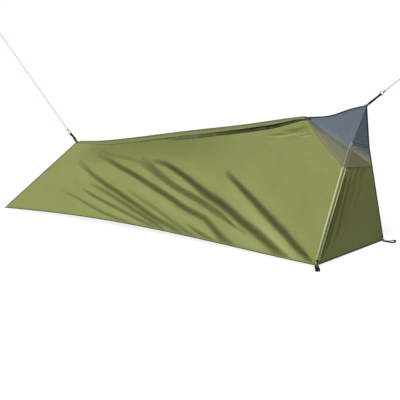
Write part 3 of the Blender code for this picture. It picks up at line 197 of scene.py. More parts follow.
@dataclass(frozen=True)
class TentShape:
    """Corners, edges and seams of the tent, measured from the middle of its floor."""

    floor_length: float = 2.25
    floor_width: float = 0.70
    head_height: float = 0.83
    foot_height: float = 0.387
    head_overhang: float = 0.078
    foot_setback: float = 0.282
    side_bow: float = 0.050
    foot_bow: float = 0.015
    near_lift: float = 0.0255
    near_lift_place: float = 0.375
    far_lift: float = 0.012
    corner_lift: float = 0.010
    roll: float = 0.003
    corner_patch: float = 0.0070
    corner_seat: float = 0.0074
    apex_patch: float = 0.0090
    apex_seat: float = 0.0094
    mesh_ridge_length: float = 0.385
    near_seam_bow: float = 0.009
    far_seam_bow: float = 0.002
    zip_top_below_peak: float = 0.197
    zip_top_drawn_in: float = 0.018
    hinge_top_below_peak: float = 0.248
    hinge_top_drawn_in: float = 0.017
    near_seam_below_peak: float = 0.320
    far_seam_below_peak: float = 0.365
    ridge_dips: tuple[tuple[float, float], ...] = (
        (0.0, 0.0), (0.25, 0.019), (0.87, 0.022), (1.23, 0.026),
        (1.62, 0.022), (1.81, 0.032), (1.95, 0.009), (2.046, 0.0))

    def corner(self, end: float, side: float, lift: float = 0.0) -> Array:
        """A corner of the floor: foot or head end, and near or far side, each as -1 or 1."""
        return vec(end * self.floor_length / 2, side * self.floor_width / 2, self.roll + lift)

    @property
    def near_foot(self) -> Array:
        """The near foot corner."""
        return self.corner(-1, -1)

    @property
    def far_foot(self) -> Array:
        """The far foot corner."""
        return self.corner(-1, 1)

    @property
    def near_head(self) -> Array:
        """The near head corner, a little off the ground."""
        return self.corner(1, -1, self.corner_lift)

    @property
    def far_head(self) -> Array:
        """The far head corner."""
        return self.corner(1, 1)

    @property
    def foot_apex(self) -> Array:
        """The low end of the ridge."""
        return vec(-self.floor_length / 2 + self.foot_setback, 0.0, self.foot_height)

    @property
    def head_apex(self) -> Array:
        """The high end of the ridge."""
        return vec(self.floor_length / 2 + self.head_overhang, 0.0, self.head_height)

    def edge_point(self, corner: Array, below_peak: float, drawn_in: float) -> Array:
        """A point of a head edge, a drop below the peak and drawn in to the foot."""
        share = 1.0 - below_peak / (self.head_apex[2] - corner[2])
        return between(corner, self.head_apex, share) - vec(drawn_in, 0.0, 0.0)

    @property
    def zip_top(self) -> Array:
        """The top end of the zip."""
        return self.edge_point(self.near_head, self.zip_top_below_peak, self.zip_top_drawn_in)

    @property
    def hinge_top(self) -> Array:
        """The top end of the door's hinge line."""
        return self.edge_point(self.far_head, self.hinge_top_below_peak,
                               self.hinge_top_drawn_in)

    def seam_point(self, corner: Array, top: Array, below_peak: float) -> Array:
        """The point between corner and top that is a drop below the peak."""
        share = (self.head_apex[2] - below_peak - corner[2]) / (top[2] - corner[2])
        return between(corner, top, share)

    @property
    def near_seam(self) -> Array:
        """Where the near mesh seam meets the zip."""
        return self.seam_point(self.near_head, self.zip_top, self.near_seam_below_peak)

    @property
    def far_seam(self) -> Array:
        """Where the far mesh seam meets the hinge line."""
        return self.seam_point(self.far_head, self.hinge_top, self.far_seam_below_peak)

    @property
    def ridge_seam_share(self) -> float:
        """How far along the ridge the cloth gives way to mesh."""
        return 1.0 - self.mesh_ridge_length / (self.head_apex[0] - self.foot_apex[0])

    def dip(self, x: Array) -> Array:
        """How far the ridge hangs below its straight line.

        Args:
            x: Metres from its foot end.

        Returns:
            The drop in metres.
        """
        xs, ds = np.array(self.ridge_dips).T
        last = len(xs) - 1
        low, high = np.clip(np.arange(-1, last), 0, last), np.clip(np.arange(1, last + 2), 0, last)
        slopes = (ds[high] - ds[low]) / (xs[high] - xs[low])
        k = np.clip(np.searchsorted(xs, x, side="right") - 1, 0, last - 1)
        span = xs[k + 1] - xs[k]
        s = (x - xs[k]) / span
        start = (2 * s**3 - 3 * s**2 + 1) * ds[k] + (s**3 - 2 * s**2 + s) * span * slopes[k]
        end = (3 * s**2 - 2 * s**3) * ds[k + 1] + (s**3 - s**2) * span * slopes[k + 1]
        return start + end

    def ridge(self, t: Array) -> Array:
        """The ridge from foot apex to head apex.

        Args:
            t: Shares of the way along.

        Returns:
            The points.
        """
        places = between(self.foot_apex, self.head_apex, t)
        places[..., 2] -= self.dip(t * self.ridge_dips[-1][0])
        return places

    def cloth_ridge(self, t: Array) -> Array:
        """The ridge over the cloth sides."""
        return self.ridge(t * self.ridge_seam_share)

    def mesh_ridge(self, t: Array) -> Array:
        """The ridge over the mesh peak."""
        share = self.ridge_seam_share
        return self.ridge(share + t * (1 - share))

    def near_hem(self, t: Array) -> Array:
        """The near hem, bowed in and lifted by the pull of the side.

        Args:
            t: Shares of the way from foot to head.

        Returns:
            The points.
        """
        places = between(self.near_foot, self.near_head, t)
        places[..., 1] += self.side_bow * arch(t)
        place = self.near_lift_place
        steep = 2 * place / (1 - place)
        lift = (t / place)**steep * ((1 - t) / (1 - place))**2
        places[..., 2] = self.roll + self.corner_lift * t**3 + self.near_lift * lift
        return places

    def far_hem(self, t: Array) -> Array:
        """The far hem from foot to head.

        Args:
            t: Shares of the way along.

        Returns:
            The points.
        """
        places = between(self.far_foot, self.far_head, t)
        places[..., 1] -= self.side_bow * arch(t)
        places[..., 2] += self.far_lift * arch(t)
        return places

    def foot_hem(self, t: Array) -> Array:
        """The foot hem from the near side to the far side.

        Args:
            t: Shares of the way along.

        Returns:
            The points.
        """
        places = between(self.near_foot, self.far_foot, t)
        places[..., 0] += self.foot_bow * arch(t)
        return places

    def side_seam(self, start: Array) -> Edge:
        """The mesh seam of one side, from a head edge up to the ridge.

        Args:
            start: Its end on the head edge.

        Returns:
            The seam.
        """
        top = self.mesh_ridge(0.0)
        depth = self.near_seam_bow if start[1] < 0 else self.far_seam_bow
        bow = across(unit(top - start), vec(-1, 0, -1)) * depth

        def edge(t: Array) -> Array:
            """Points of the seam."""
            return between(start, top, t) + bow * arch(t)[..., None]
        return edge


TENT = TentShape()


@dataclass(frozen=True)
class ZipLine:
    """The closed zip, which lies flat across the corner between near side and door."""

    coil_radius: float = 0.0016
    tape_width: float = 0.0040
    piping_radius: float = 0.0018
    bottom_gap: float = 0.026
    stop_length: float = 0.006
    seam_gap: float = 0.0005
    slider_clearance: float = 0.00035
    slider_web: float = 0.0009
    slider_overlap: float = 0.0015

    @property
    def run(self) -> Array:
        """Up the zip."""
        return unit(TENT.zip_top - TENT.near_head)

    @property
    def length(self) -> float:
        """From the bottom corner to the top of the zip."""
        return distance(TENT.zip_top, TENT.near_head)

    @property
    def into_side(self) -> Array:
        """From the zip into the near side."""
        return across(self.run, vec(-1, 0, 0))

    @property
    def into_door(self) -> Array:
        """From the zip into the door."""
        return across(self.run, TENT.far_head - TENT.near_head)

    @property
    def sideways(self) -> Array:
        """Across the flat zip, to the near side."""
        return unit(self.into_side - self.into_door)

    @property
    def outward(self) -> Array:
        """Out of the corner that the zip closes."""
        return -unit(self.into_side + self.into_door)

    @property
    def coil_offset(self) -> float:
        """From the middle of the zip to the middle of each coil."""
        return self.coil_radius + self.slider_clearance + self.slider_web / 2

    @property
    def tape_bend(self) -> float:
        """Where each tape bends round the corner, from the middle of the zip."""
        return self.coil_offset + self.coil_radius + self.slider_overlap + self.slider_clearance

    @property
    def tape_end(self) -> float:
        """Where each tape ends, from the corner line."""
        return self.tape_bend / float(np.dot(self.sideways, self.into_side)) + self.tape_width

    @property
    def piping_place(self) -> float:
        """The middle of each piping, from the corner line."""
        return self.tape_end + self.seam_gap + self.piping_radius

    def centre(self, place: Array | float) -> Array:
        """The middle of the zip.

        Args:
            place: Metres up from its bottom corner.

        Returns:
            The points.
        """
        flat = float(np.dot(self.sideways, self.into_side))
        inset = self.tape_bend * math.sqrt(1 - flat**2) / flat
        up = np.asarray(place, float)[..., None] * self.run
        return TENT.near_head + up - self.outward * inset


ZIP = ZipLine()


class Value:
    """A number that changes over a surface, which can be used in sums."""

    def __init__(self, paint: "Paint", socket: bpy.types.NodeSocket) -> None:
        """Wraps a socket of the paint's tree."""
        self.paint = paint
        self.socket = socket

    def math(self, operation: str, *others: "Value | float") -> "Value":
        """The result of one operation on this value and others."""
        sockets = dict(enumerate((self, *others)))
        return self.paint.node("ShaderNodeMath", {"operation": operation}, sockets)

    def __add__(self, other: "Value | float") -> "Value":
        """The sum."""
        return self.math("ADD", other)

    def __radd__(self, other: float) -> "Value":
        """The sum, number first."""
        return self.math("ADD", other)

    def __sub__(self, other: "Value | float") -> "Value":
        """The difference."""
        return self.math("SUBTRACT", other)

    def __rsub__(self, other: float) -> "Value":
        """The difference, number first."""
        return self.paint.node("ShaderNodeMath", {"operation": "SUBTRACT"}, {0: other, 1: self})

    def __mul__(self, other: "Value | float") -> "Value":
        """The product."""
        return self.math("MULTIPLY", other)

    def __rmul__(self, other: float) -> "Value":
        """The product, number first."""
        return self.math("MULTIPLY", other)

    def __truediv__(self, other: "Value | float") -> "Value":
        """The quotient."""
        return self.math("DIVIDE", other)

    def __abs__(self) -> "Value":
        """The size without its sign."""
        return self.math("ABSOLUTE")

    def wave(self, pitch: float) -> "Value":
        """A wave from 0 to 1 that repeats with the pitch."""
        return (self * (2 * math.pi / pitch)).math("SINE") * 0.5 + 0.5

    def dashes(self, pitch: float, share: float) -> "Value":
        """One along each dash and nought in the gaps."""
        return (self / pitch).math("FRACT").math("LESS_THAN", share)

    def near(self, places: Sequence[float], reach: float) -> "Value":
        """One where the value is within reach of one of the places."""
        first, *more = (abs(self - place).math("LESS_THAN", reach) for place in places)
        return sum(more, first)

    def eased(self, low: float, high: float) -> "Value":
        """Nought below low and one above high, smooth between."""
        return self.paint.node("ShaderNodeMapRange", {"interpolation_type": "SMOOTHSTEP"},
                               {"Value": self, "From Min": low, "From Max": high})


class Paint:
    """The nodes of one finish."""

    def __init__(self, name: str, **fixed: float) -> None:
        """Starts a material.

        Args:
            name: The material's name.
            **fixed: Settings of its shader that are the same all over, with _ for a space.
        """
        self.material = bpy.data.materials.new(name)
        self.material.use_nodes = True
        self.tree = self.material.node_tree
        self.shader = self.tree.nodes["Principled BSDF"]
        self.surface = self.tree.nodes["Material Output"].inputs["Surface"]
        for key, value in fixed.items():
            self.socket(key).default_value = value

    def socket(self, key: str) -> bpy.types.NodeSocket:
        """The shader's socket of a name written small, with _ for a space."""
        return self.shader.inputs[key.replace("_", " ").title().replace("Ior", "IOR")]

    def plug(self, value: "Value | float | Sequence[float]", socket: bpy.types.NodeSocket) -> None:
        """Links a value to a socket, or sets the socket to a number or colour.

        Args:
            value: A value, a number or a colour.
            socket: What it goes into.
        """
        if isinstance(value, Value):
            self.tree.links.new(value.socket, socket)
        else:
            socket.default_value = value

    def node(self, kind: str, settings: dict, sockets: dict, out: int | str = 0) -> Value:
        """Adds one node.

        Args:
            kind: The node's type.
            settings: Its settings, set first.
            sockets: Values or links of its sockets, by name or number.
            out: The output to use.

        Returns:
            The output as a value.
        """
        made = self.tree.nodes.new(kind)
        for key, value in settings.items():
            setattr(made, key, value)
        for key, value in sockets.items():
            self.plug(value, made.inputs[key])
        return Value(self, made.outputs[out])

    def body(self) -> Value:
        """Places in the piece's own space, in metres."""
        return self.node("ShaderNodeTexCoord", {}, {}, "Object")

    def laid(self) -> tuple[Value, Value, Value]:
        """Places on the cloth as it was cut: along, up, and in from the nearest edge."""
        return self.split(self.node("ShaderNodeAttribute", {"attribute_name": "cloth"}, {},
                                    "Vector"))

    def split(self, where: Value) -> tuple[Value, Value, Value]:
        """The three parts of a place."""
        return tuple(self.node("ShaderNodeSeparateXYZ", {}, {0: where}, k) for k in range(3))

    def painted_shading(self) -> Value:
        """The painted shade of each point, up to one, and below nought for a painted highlight."""
        return self.node("ShaderNodeAttribute", {"attribute_name": "painted_shading"}, {}, "Fac")

    def noise(self, scale: float, detail: float = 2.0, where: Value | None = None) -> Value:
        """Soft random spots, with scale counted per metre."""
        return self.node("ShaderNodeTexNoise", {},
                         {"Vector": where or self.body(), "Scale": scale, "Detail": detail})

    def squeezed(self, where: Value, by: tuple[float, float, float]) -> Value:
        """Places stretched by three factors."""
        return self.node("ShaderNodeVectorMath", {"operation": "MULTIPLY"}, {0: where, 1: by})

    def mixed(self, share: "Value | float", a: "Value | Colour", b: "Value | Colour") -> Value:
        """A colour between two colours.

        Args:
            share: How much of the second there is.
            a: The first colour.
            b: The second colour.

        Returns:
            The mixed colour.
        """
        ends = (k if isinstance(k, Value) else (*k, 1.0) for k in (a, b))
        return self.node("ShaderNodeMix", {"data_type": "RGBA", "clamp_factor": True},
                         {0: share, **dict(zip(MIX_COLOURS, ends))}, MIX_RESULT)

    def feed(self, **inputs: Value) -> None:
        """Feeds the shader, with _ for a space in a socket's name."""
        for key, value in inputs.items():
            self.plug(value, self.socket(key))

    def done(self, height: Value, **inputs: Value) -> bpy.types.Material:
        """Feeds the shader and raises its surface.

        Args:
            height: How far the surface is raised, in metres.
            **inputs: What else feeds the shader.

        Returns:
            The finished material.
        """
        self.feed(**inputs, normal=self.node(
            "ShaderNodeBump", {}, {"Strength": 1.0, "Distance": 1.0, "Height": height}, "Normal"))
        return self.material

    def seen(self) -> Value:
        """Tells rays that show the backdrop: from the camera, a gloss or a clear thing.

        Returns:
            One on such rays and nought on others.
        """
        camera, gloss, clear = (self.node("ShaderNodeLightPath", {}, {}, f"Is {kind} Ray")
                                for kind in ("Camera", "Glossy", "Transmission"))
        return camera.math("MAXIMUM", gloss).math("MAXIMUM", clear)


class SkyPaint(Paint):
    """The nodes of the studio's sky."""

    def __init__(self, name: str) -> None:
        """Starts a sky.

        Args:
            name: The sky's name.
        """
        sky = bpy.data.worlds.new(name)
        sky.use_nodes = True
        bpy.context.scene.world = sky
        self.tree = sky.node_tree
        self.tree.nodes.remove(self.tree.nodes["Background"])
        self.surface = self.tree.nodes["World Output"].inputs["Surface"]


@dataclass(frozen=True)
class ClothFinish:
    """Tent cloth: plain weave, uneven dye, small crumples, a double row of stitches, and painted
    shade and painted highlights.
    """

    name: str
    colour: Colour
    deep: Colour
    lit: Colour = (0.47, 0.50, 0.225)
    thread: Colour = (0.16, 0.18, 0.07)
    dirt: Colour = (0.30, 0.28, 0.19)
    rows: tuple[float, ...] = (0.0065, 0.0105)
    weave: float = 0.0012
    crumple: float = 0.0011
    roughness: float = 0.58
    sheen: float = 0.05

    def material(self) -> bpy.types.Material:
        """The finish as a material.

        Returns:
            The material.
        """
        paint = Paint(self.name, sheen_weight=self.sheen, sheen_roughness=0.45,
                      specular_ior_level=0.18)
        along, up, edge = paint.laid()
        warp, weft = along.wave(self.weave), up.wave(self.weave)
        blotch = paint.noise(5.2, 4.0).eased(0.3, 0.7)
        fleck = paint.noise(95.0, 2.0)
        slub = paint.noise(1.0, 2.0, paint.squeezed(paint.body(), (22.0, 22.0, 300.0)))
        painted_shading = paint.painted_shading()
        colour = paint.mixed(blotch * 0.5 + fleck * 0.5, self.colour, toned(self.colour, 0.86))
        colour = paint.mixed((warp * weft) * 0.06 + slub.eased(0.35, 0.7) * 0.10, colour, self.deep)
        # Painted shade toward the deep colour where press is above nought, and a painted highlight
        # in the lit colour where it is below.
        colour = paint.mixed(painted_shading * 0.90, colour, self.deep)
        colour = paint.mixed((0.0 - painted_shading) * 0.9, colour, self.lit)
        dust = paint.noise(16.0, 4.0).eased(0.52, 0.78) * (1.0 - edge.eased(0.0, 0.05))
        colour = paint.mixed(dust * 0.25, colour, self.dirt)
        stitch = edge.near(self.rows, STITCH_REACH)
        stitch = stitch * (along + up).dashes(STITCH_PITCH, STITCH_SHARE)
        colour = paint.mixed(stitch * 0.8, colour, self.thread)
        height = paint.noise(11.0, 2.0) * self.crumple * 1.25
        height = height + paint.noise(38.0, 3.0) * (self.crumple * 0.60)
        height = height + paint.noise(130.0, 2.0) * (self.crumple * 0.07)
        pucker = (along + up).wave(0.014) * (1.0 - edge.eased(0.004, 0.022))
        height = height + pucker * 0.00035 + (warp + weft) * 0.00003 + stitch * 0.0002
        return paint.done(height, base_color=colour,
                          roughness=self.roughness + fleck * 0.10 - painted_shading * 0.05)


@dataclass(frozen=True)
class CoatedFinish:
    """Coated floor cloth: dark, with a faint sheen, scuffs and a ripstop grid."""

    name: str = "floor_coating"
    colour: Colour = (0.045, 0.050, 0.040)
    scuffed: Colour = (0.11, 0.115, 0.09)
    thread: Colour = (0.16, 0.17, 0.10)
    rows: tuple[float, ...] = (0.0065,)
    grid: float = 0.006
    grid_line: float = 0.09

    def material(self) -> bpy.types.Material:
        """The finish as a material.

        Returns:
            The material.
        """
        paint = Paint(self.name, specular_ior_level=0.3)
        along, up, edge = paint.laid()
        lines = along.dashes(self.grid, self.grid_line)
        lines = lines.math("MAXIMUM", up.dashes(self.grid, self.grid_line))
        scuff = paint.noise(21.0, 5.0).eased(0.55, 0.75)
        colour = paint.mixed(paint.noise(4.0, 3.0), self.colour, toned(self.colour, 0.72))
        colour = paint.mixed(lines * 0.25 + scuff * 0.18, colour, self.scuffed)
        stitch = edge.near(self.rows, STITCH_REACH)
        stitch = stitch * (along + up).dashes(STITCH_PITCH, STITCH_SHARE)
        colour = paint.mixed(stitch * 0.8, colour, self.thread)
        height = paint.noise(9.0, 3.0) * 0.0016 + paint.noise(42.0, 3.0) * 0.0004
        return paint.done(height + lines * 0.00004, base_color=colour,
                          roughness=0.42 + scuff * 0.25)


@dataclass(frozen=True)
class MeshFinish:
    """Insect mesh: fine see-through net with threads crossing in a diamond pattern, and a painted
    glow over its lower part.
    """

    name: str = "insect_mesh"
    colour: Colour = (0.098, 0.140, 0.190)
    warm: Colour = (0.262, 0.266, 0.160)
    pitch: float = 0.0021
    clear: float = 0.44
    solid: float = 0.86
    cool_from: float = 0.902
    cool_to: float = 0.962
    along_x: float = 0.323
    along_y: float = 0.0
    along_z: float = 0.947
    fray: Colour = (0.34, 0.36, 0.38)

    def material(self) -> bpy.types.Material:
        """The finish as a material.

        Returns:
            The material.
        """
        paint = Paint(self.name, specular_ior_level=0.12)
        along, up, edge = paint.laid()
        first, second = (along + up).wave(self.pitch), (along - up).wave(self.pitch)
        thread = first.math("MAXIMUM", second)
        painted_shading = paint.painted_shading()
        tone = paint.noise(7.0, 3.0)
        x, y, z = paint.split(paint.body())
        height = x * self.along_x + y * self.along_y + z * self.along_z
        cool = (height + tone * 0.02).eased(self.cool_from, self.cool_to)
        colour = paint.mixed(tone, self.colour, toned(self.colour, 0.82))
        # Below a tilted height the net takes its second colour: painted glow of the lit cloth seen
        # through it.
        colour = paint.mixed(cool, self.warm, colour)
        colour = paint.mixed(painted_shading * 0.4, colour, self.fray)
        hem = 1.0 - edge.eased(0.006, 0.008)
        opaque = self.clear + thread * (self.solid - self.clear) + tone * 0.06 - 0.03
        return paint.done(thread * 0.00012 + paint.noise(14.0, 2.0) * 0.0006, base_color=colour,
                          roughness=0.62 + tone * 0.12,
                          alpha=(opaque + painted_shading * 0.10 + hem * 0.2).math("MINIMUM", 1.0))


@dataclass(frozen=True)
class TapeFinish:
    """Woven tape or rolled cloth: slanting twill, worn high spots and rows of stitches.

    Where an upper colour is named, the tape turns to it over a stretch of its height.
    """

    name: str
    colour: Colour
    thread: Colour
    twill: float = 0.0016
    rows: tuple[float, ...] = (0.25, 0.75)
    row_reach: float = 0.030
    stitch_pitch: float = 0.0046
    stitch_share: float = 0.64
    roughness: float = 0.66
    upper: Colour | None = None
    upper_from: float = 0.50
    upper_over: float = 0.02

    def material(self) -> bpy.types.Material:
        """The finish as a material.

        Returns:
            The material.
        """
        paint = Paint(self.name, sheen_weight=0.04, specular_ior_level=0.14)
        along, round_it, _ = paint.laid()
        ribs = (along + round_it * 0.012).wave(self.twill)
        wear = paint.noise(48.0, 4.0).eased(0.50, 0.72)
        tone = paint.noise(13.0, 3.0)
        colour = paint.mixed(tone * 0.6 + ribs * 0.3, self.colour, toned(self.colour, 0.70))
        colour = paint.mixed(wear * 0.22, colour, toned(self.colour, 1.9))
        if self.upper:
            high = paint.split(paint.body())[2].eased(self.upper_from,
                                                      self.upper_from + self.upper_over)
            colour = paint.mixed(high, colour, self.upper)
        stitch = round_it.near(self.rows, self.row_reach)
        stitch = stitch * along.dashes(self.stitch_pitch, self.stitch_share)
        colour = paint.mixed(stitch * 0.85, colour, self.thread)
        pucker = along.wave(0.0092) * 0.00018
        return paint.done(ribs * 0.00007 + pucker + stitch * 0.0002 + tone * 0.0003,
                          base_color=colour, roughness=self.roughness + wear * 0.12)


@dataclass(frozen=True)
class WebbingFinish:
    """Narrow webbing: a herringbone of ribs between two firm edges, with fuzz where it rubs."""

    name: str = "black_webbing"
    colour: Colour = (0.0035, 0.0035, 0.004)
    ribbed: Colour = (0.0087, 0.0087, 0.0098)
    worn: Colour = (0.045, 0.046, 0.045)
    width: float = 0.025
    rib: float = 0.0016

    def material(self) -> bpy.types.Material:
        """The finish as a material.

        Returns:
            The material.
        """
        paint = Paint(self.name, sheen_weight=0.03, sheen_roughness=0.5, specular_ior_level=0.12)
        along, wide, _ = paint.laid()
        leg = abs((wide / (self.width * 0.5)).math("FRACT") - 0.5)
        ribs = (along + leg * 0.004).wave(self.rib)
        ends = wide.wave(0.0010)
        fuzz = paint.noise(210.0, 3.0)
        worn = paint.noise(34.0, 4.0).eased(0.5, 0.75)
        colour = paint.mixed(ribs * 0.4 + fuzz * 0.3, self.colour, self.ribbed)
        colour = paint.mixed(worn * 0.15, colour, self.worn)
        return paint.done(ribs * 0.00022 + ends * 0.00005 + fuzz * 0.00008, base_color=colour,
                          roughness=0.58 + fuzz * 0.2)


@dataclass(frozen=True)
class CordFinish:
    """Thin braided red cord: strands with a darker fleck, crossing both ways round it."""

    name: str = "guy_cord"
    colour: Colour = (0.380, 0.022, 0.050)
    dark: Colour = (0.260, 0.010, 0.020)
    dirt: Colour = (0.35, 0.24, 0.22)
    lay: float = 0.0062

    def material(self) -> bpy.types.Material:
        """The finish as a material.

        Returns:
            The material.
        """
        paint = Paint(self.name, sheen_weight=0.02, specular_ior_level=0.06)
        along, round_it, _ = paint.laid()
        right = (along / self.lay + round_it * 2.0).wave(1.0)
        left = (along / self.lay - round_it * 2.0).wave(1.0)
        strand = right.math("MAXIMUM", left)
        fleck = (along / self.lay + round_it).dashes(1.0, 0.30) * left.eased(0.3, 0.7)
        soil = paint.noise(60.0, 4.0).eased(0.55, 0.8)
        colour = paint.mixed(fleck * 0.85, self.colour, self.dark)
        # Painted shade in the grooves between the strands.
        colour = paint.mixed((1.0 - strand) * 0.5, colour, toned(self.dark, 0.5))
        colour = paint.mixed(soil * 0.2, colour, self.dirt)
        return paint.done(strand * 0.00016 + paint.noise(700.0, 2.0) * 0.00004,
                          base_color=colour, roughness=0.62 + soil * 0.15)


@dataclass(frozen=True)
class HardFinish:
    """Hard small parts: lacquered metal or moulded nylon, rubbed at the edges."""

    name: str
    colour: Colour
    worn: Colour
    metallic: float
    roughness: float
    grain: float = 900.0

    def material(self) -> bpy.types.Material:
        """The finish as a material.

        Returns:
            The material.
        """
        paint = Paint(self.name, metallic=self.metallic, specular_ior_level=0.5)
        fine = paint.noise(self.grain, 3.0)
        edge = paint.node("ShaderNodeNewGeometry", {}, {}, "Pointiness").eased(0.51, 0.58)
        rub = edge * paint.noise(260.0, 4.0).eased(0.35, 0.65)
        colour = paint.mixed(fine * 0.5, self.colour, toned(self.colour, 0.7))
        colour = paint.mixed(rub * 0.8, colour, self.worn)
        return paint.done(fine * 0.00003, base_color=colour,
                          roughness=self.roughness + fine * 0.12 - rub * 0.1)


class Finish(Enum):
    """The finishes of this tent."""

    CLOTH = ClothFinish("olive_cloth", (0.284, 0.314, 0.102), (0.090, 0.094, 0.026))
    # The door's cloth is a darker copy of the olive cloth: painted shade for the door end.
    DOOR_CLOTH = ClothFinish("shaded_olive_door_cloth", (0.244, 0.272, 0.080), (0.082, 0.090, 0.026),
                             crumple=0.0008, sheen=0.02)
    FLAP = ClothFinish("ridge_flap_cloth", (0.240, 0.270, 0.094), (0.088, 0.096, 0.034),
                       crumple=0.0005)
    # A dark strip that stands for the shadow under the ridge flap: painted shade.
    GUSSET = ClothFinish("ridge_shade_strip_cloth", (0.170, 0.180, 0.078), (0.010, 0.011, 0.004),
                         crumple=0.0006)
    FLOOR = CoatedFinish()
    MESH = MeshFinish()
    CAP_MESH = MeshFinish("cap_mesh", (0.010, 0.080, 0.155), (0.070, 0.105, 0.135), clear=0.58,
                          cool_from=0.950, cool_to=0.990)
    DOOR_MESH = MeshFinish("door_mesh", (0.045, 0.095, 0.130), (0.400, 0.400, 0.215),
                           cool_from=0.905, cool_to=0.957, along_y=0.42)
    BINDING = TapeFinish("hem_binding", (0.100, 0.115, 0.048), (0.20, 0.22, 0.10))
    MESH_BINDING = TapeFinish("mesh_binding", (0.215, 0.228, 0.235), (0.15, 0.165, 0.18))
    SIDE_SEAM = TapeFinish("side_seam", (0.200, 0.212, 0.110), (0.15, 0.165, 0.08))
    MESH_SEAM = TapeFinish("mesh_seam", (0.034, 0.040, 0.018), (0.09, 0.10, 0.05))
    RIDGE_TAPE = TapeFinish("ridge_tape", (0.022, 0.025, 0.024), (0.06, 0.065, 0.06))
    # The pipings and the zip tape are lighter than the olive cloth, partly their own colour and
    # partly painted highlight on the zip's folded edges. The pipings turn lighter still above a
    # height, painted light up the zip, and the darker door piping is a shaded copy.
    PIPING = TapeFinish("zip_piping", (0.430, 0.470, 0.240), (0.42, 0.46, 0.24),
                        upper=(0.740, 0.780, 0.440), upper_from=0.08, upper_over=0.16)
    DOOR_PIPING = TapeFinish("door_zip_piping", (0.250, 0.280, 0.130), (0.30, 0.33, 0.16),
                             upper=(0.640, 0.680, 0.370), upper_from=0.20, upper_over=0.12)
    ZIP_TAPE = TapeFinish("zip_tape", (0.480, 0.520, 0.270), (0.34, 0.37, 0.18), rows=(0.5,),
                          upper=(0.300, 0.310, 0.280))
    WEBBING = WebbingFinish()
    PATCH = TapeFinish("corner_patch", (0.030, 0.032, 0.030), (0.11, 0.115, 0.11))
    TACK = TapeFinish("bar_tack_thread", (0.190, 0.195, 0.190), (0.30, 0.31, 0.30), 0.0005)
    CORD = CordFinish()
    COIL = HardFinish("zip_coil_nylon", (0.180, 0.200, 0.075), (0.24, 0.26, 0.12), 0.0, 0.46)
    METAL = HardFinish("zip_metal", (0.150, 0.165, 0.075), (0.40, 0.41, 0.34), 0.35, 0.40)
    PULL = HardFinish("zip_pull_nylon", (0.125, 0.142, 0.058), (0.18, 0.19, 0.10), 0.0, 0.46)

    def on(self, piece: bpy.types.Object) -> None:
        """Puts the finish on a piece.

        Args:
            piece: What is dressed.
        """
        made = bpy.data.materials.get(self.value.name) or self.value.material()
        piece.data.materials.clear()
        piece.data.materials.append(made)


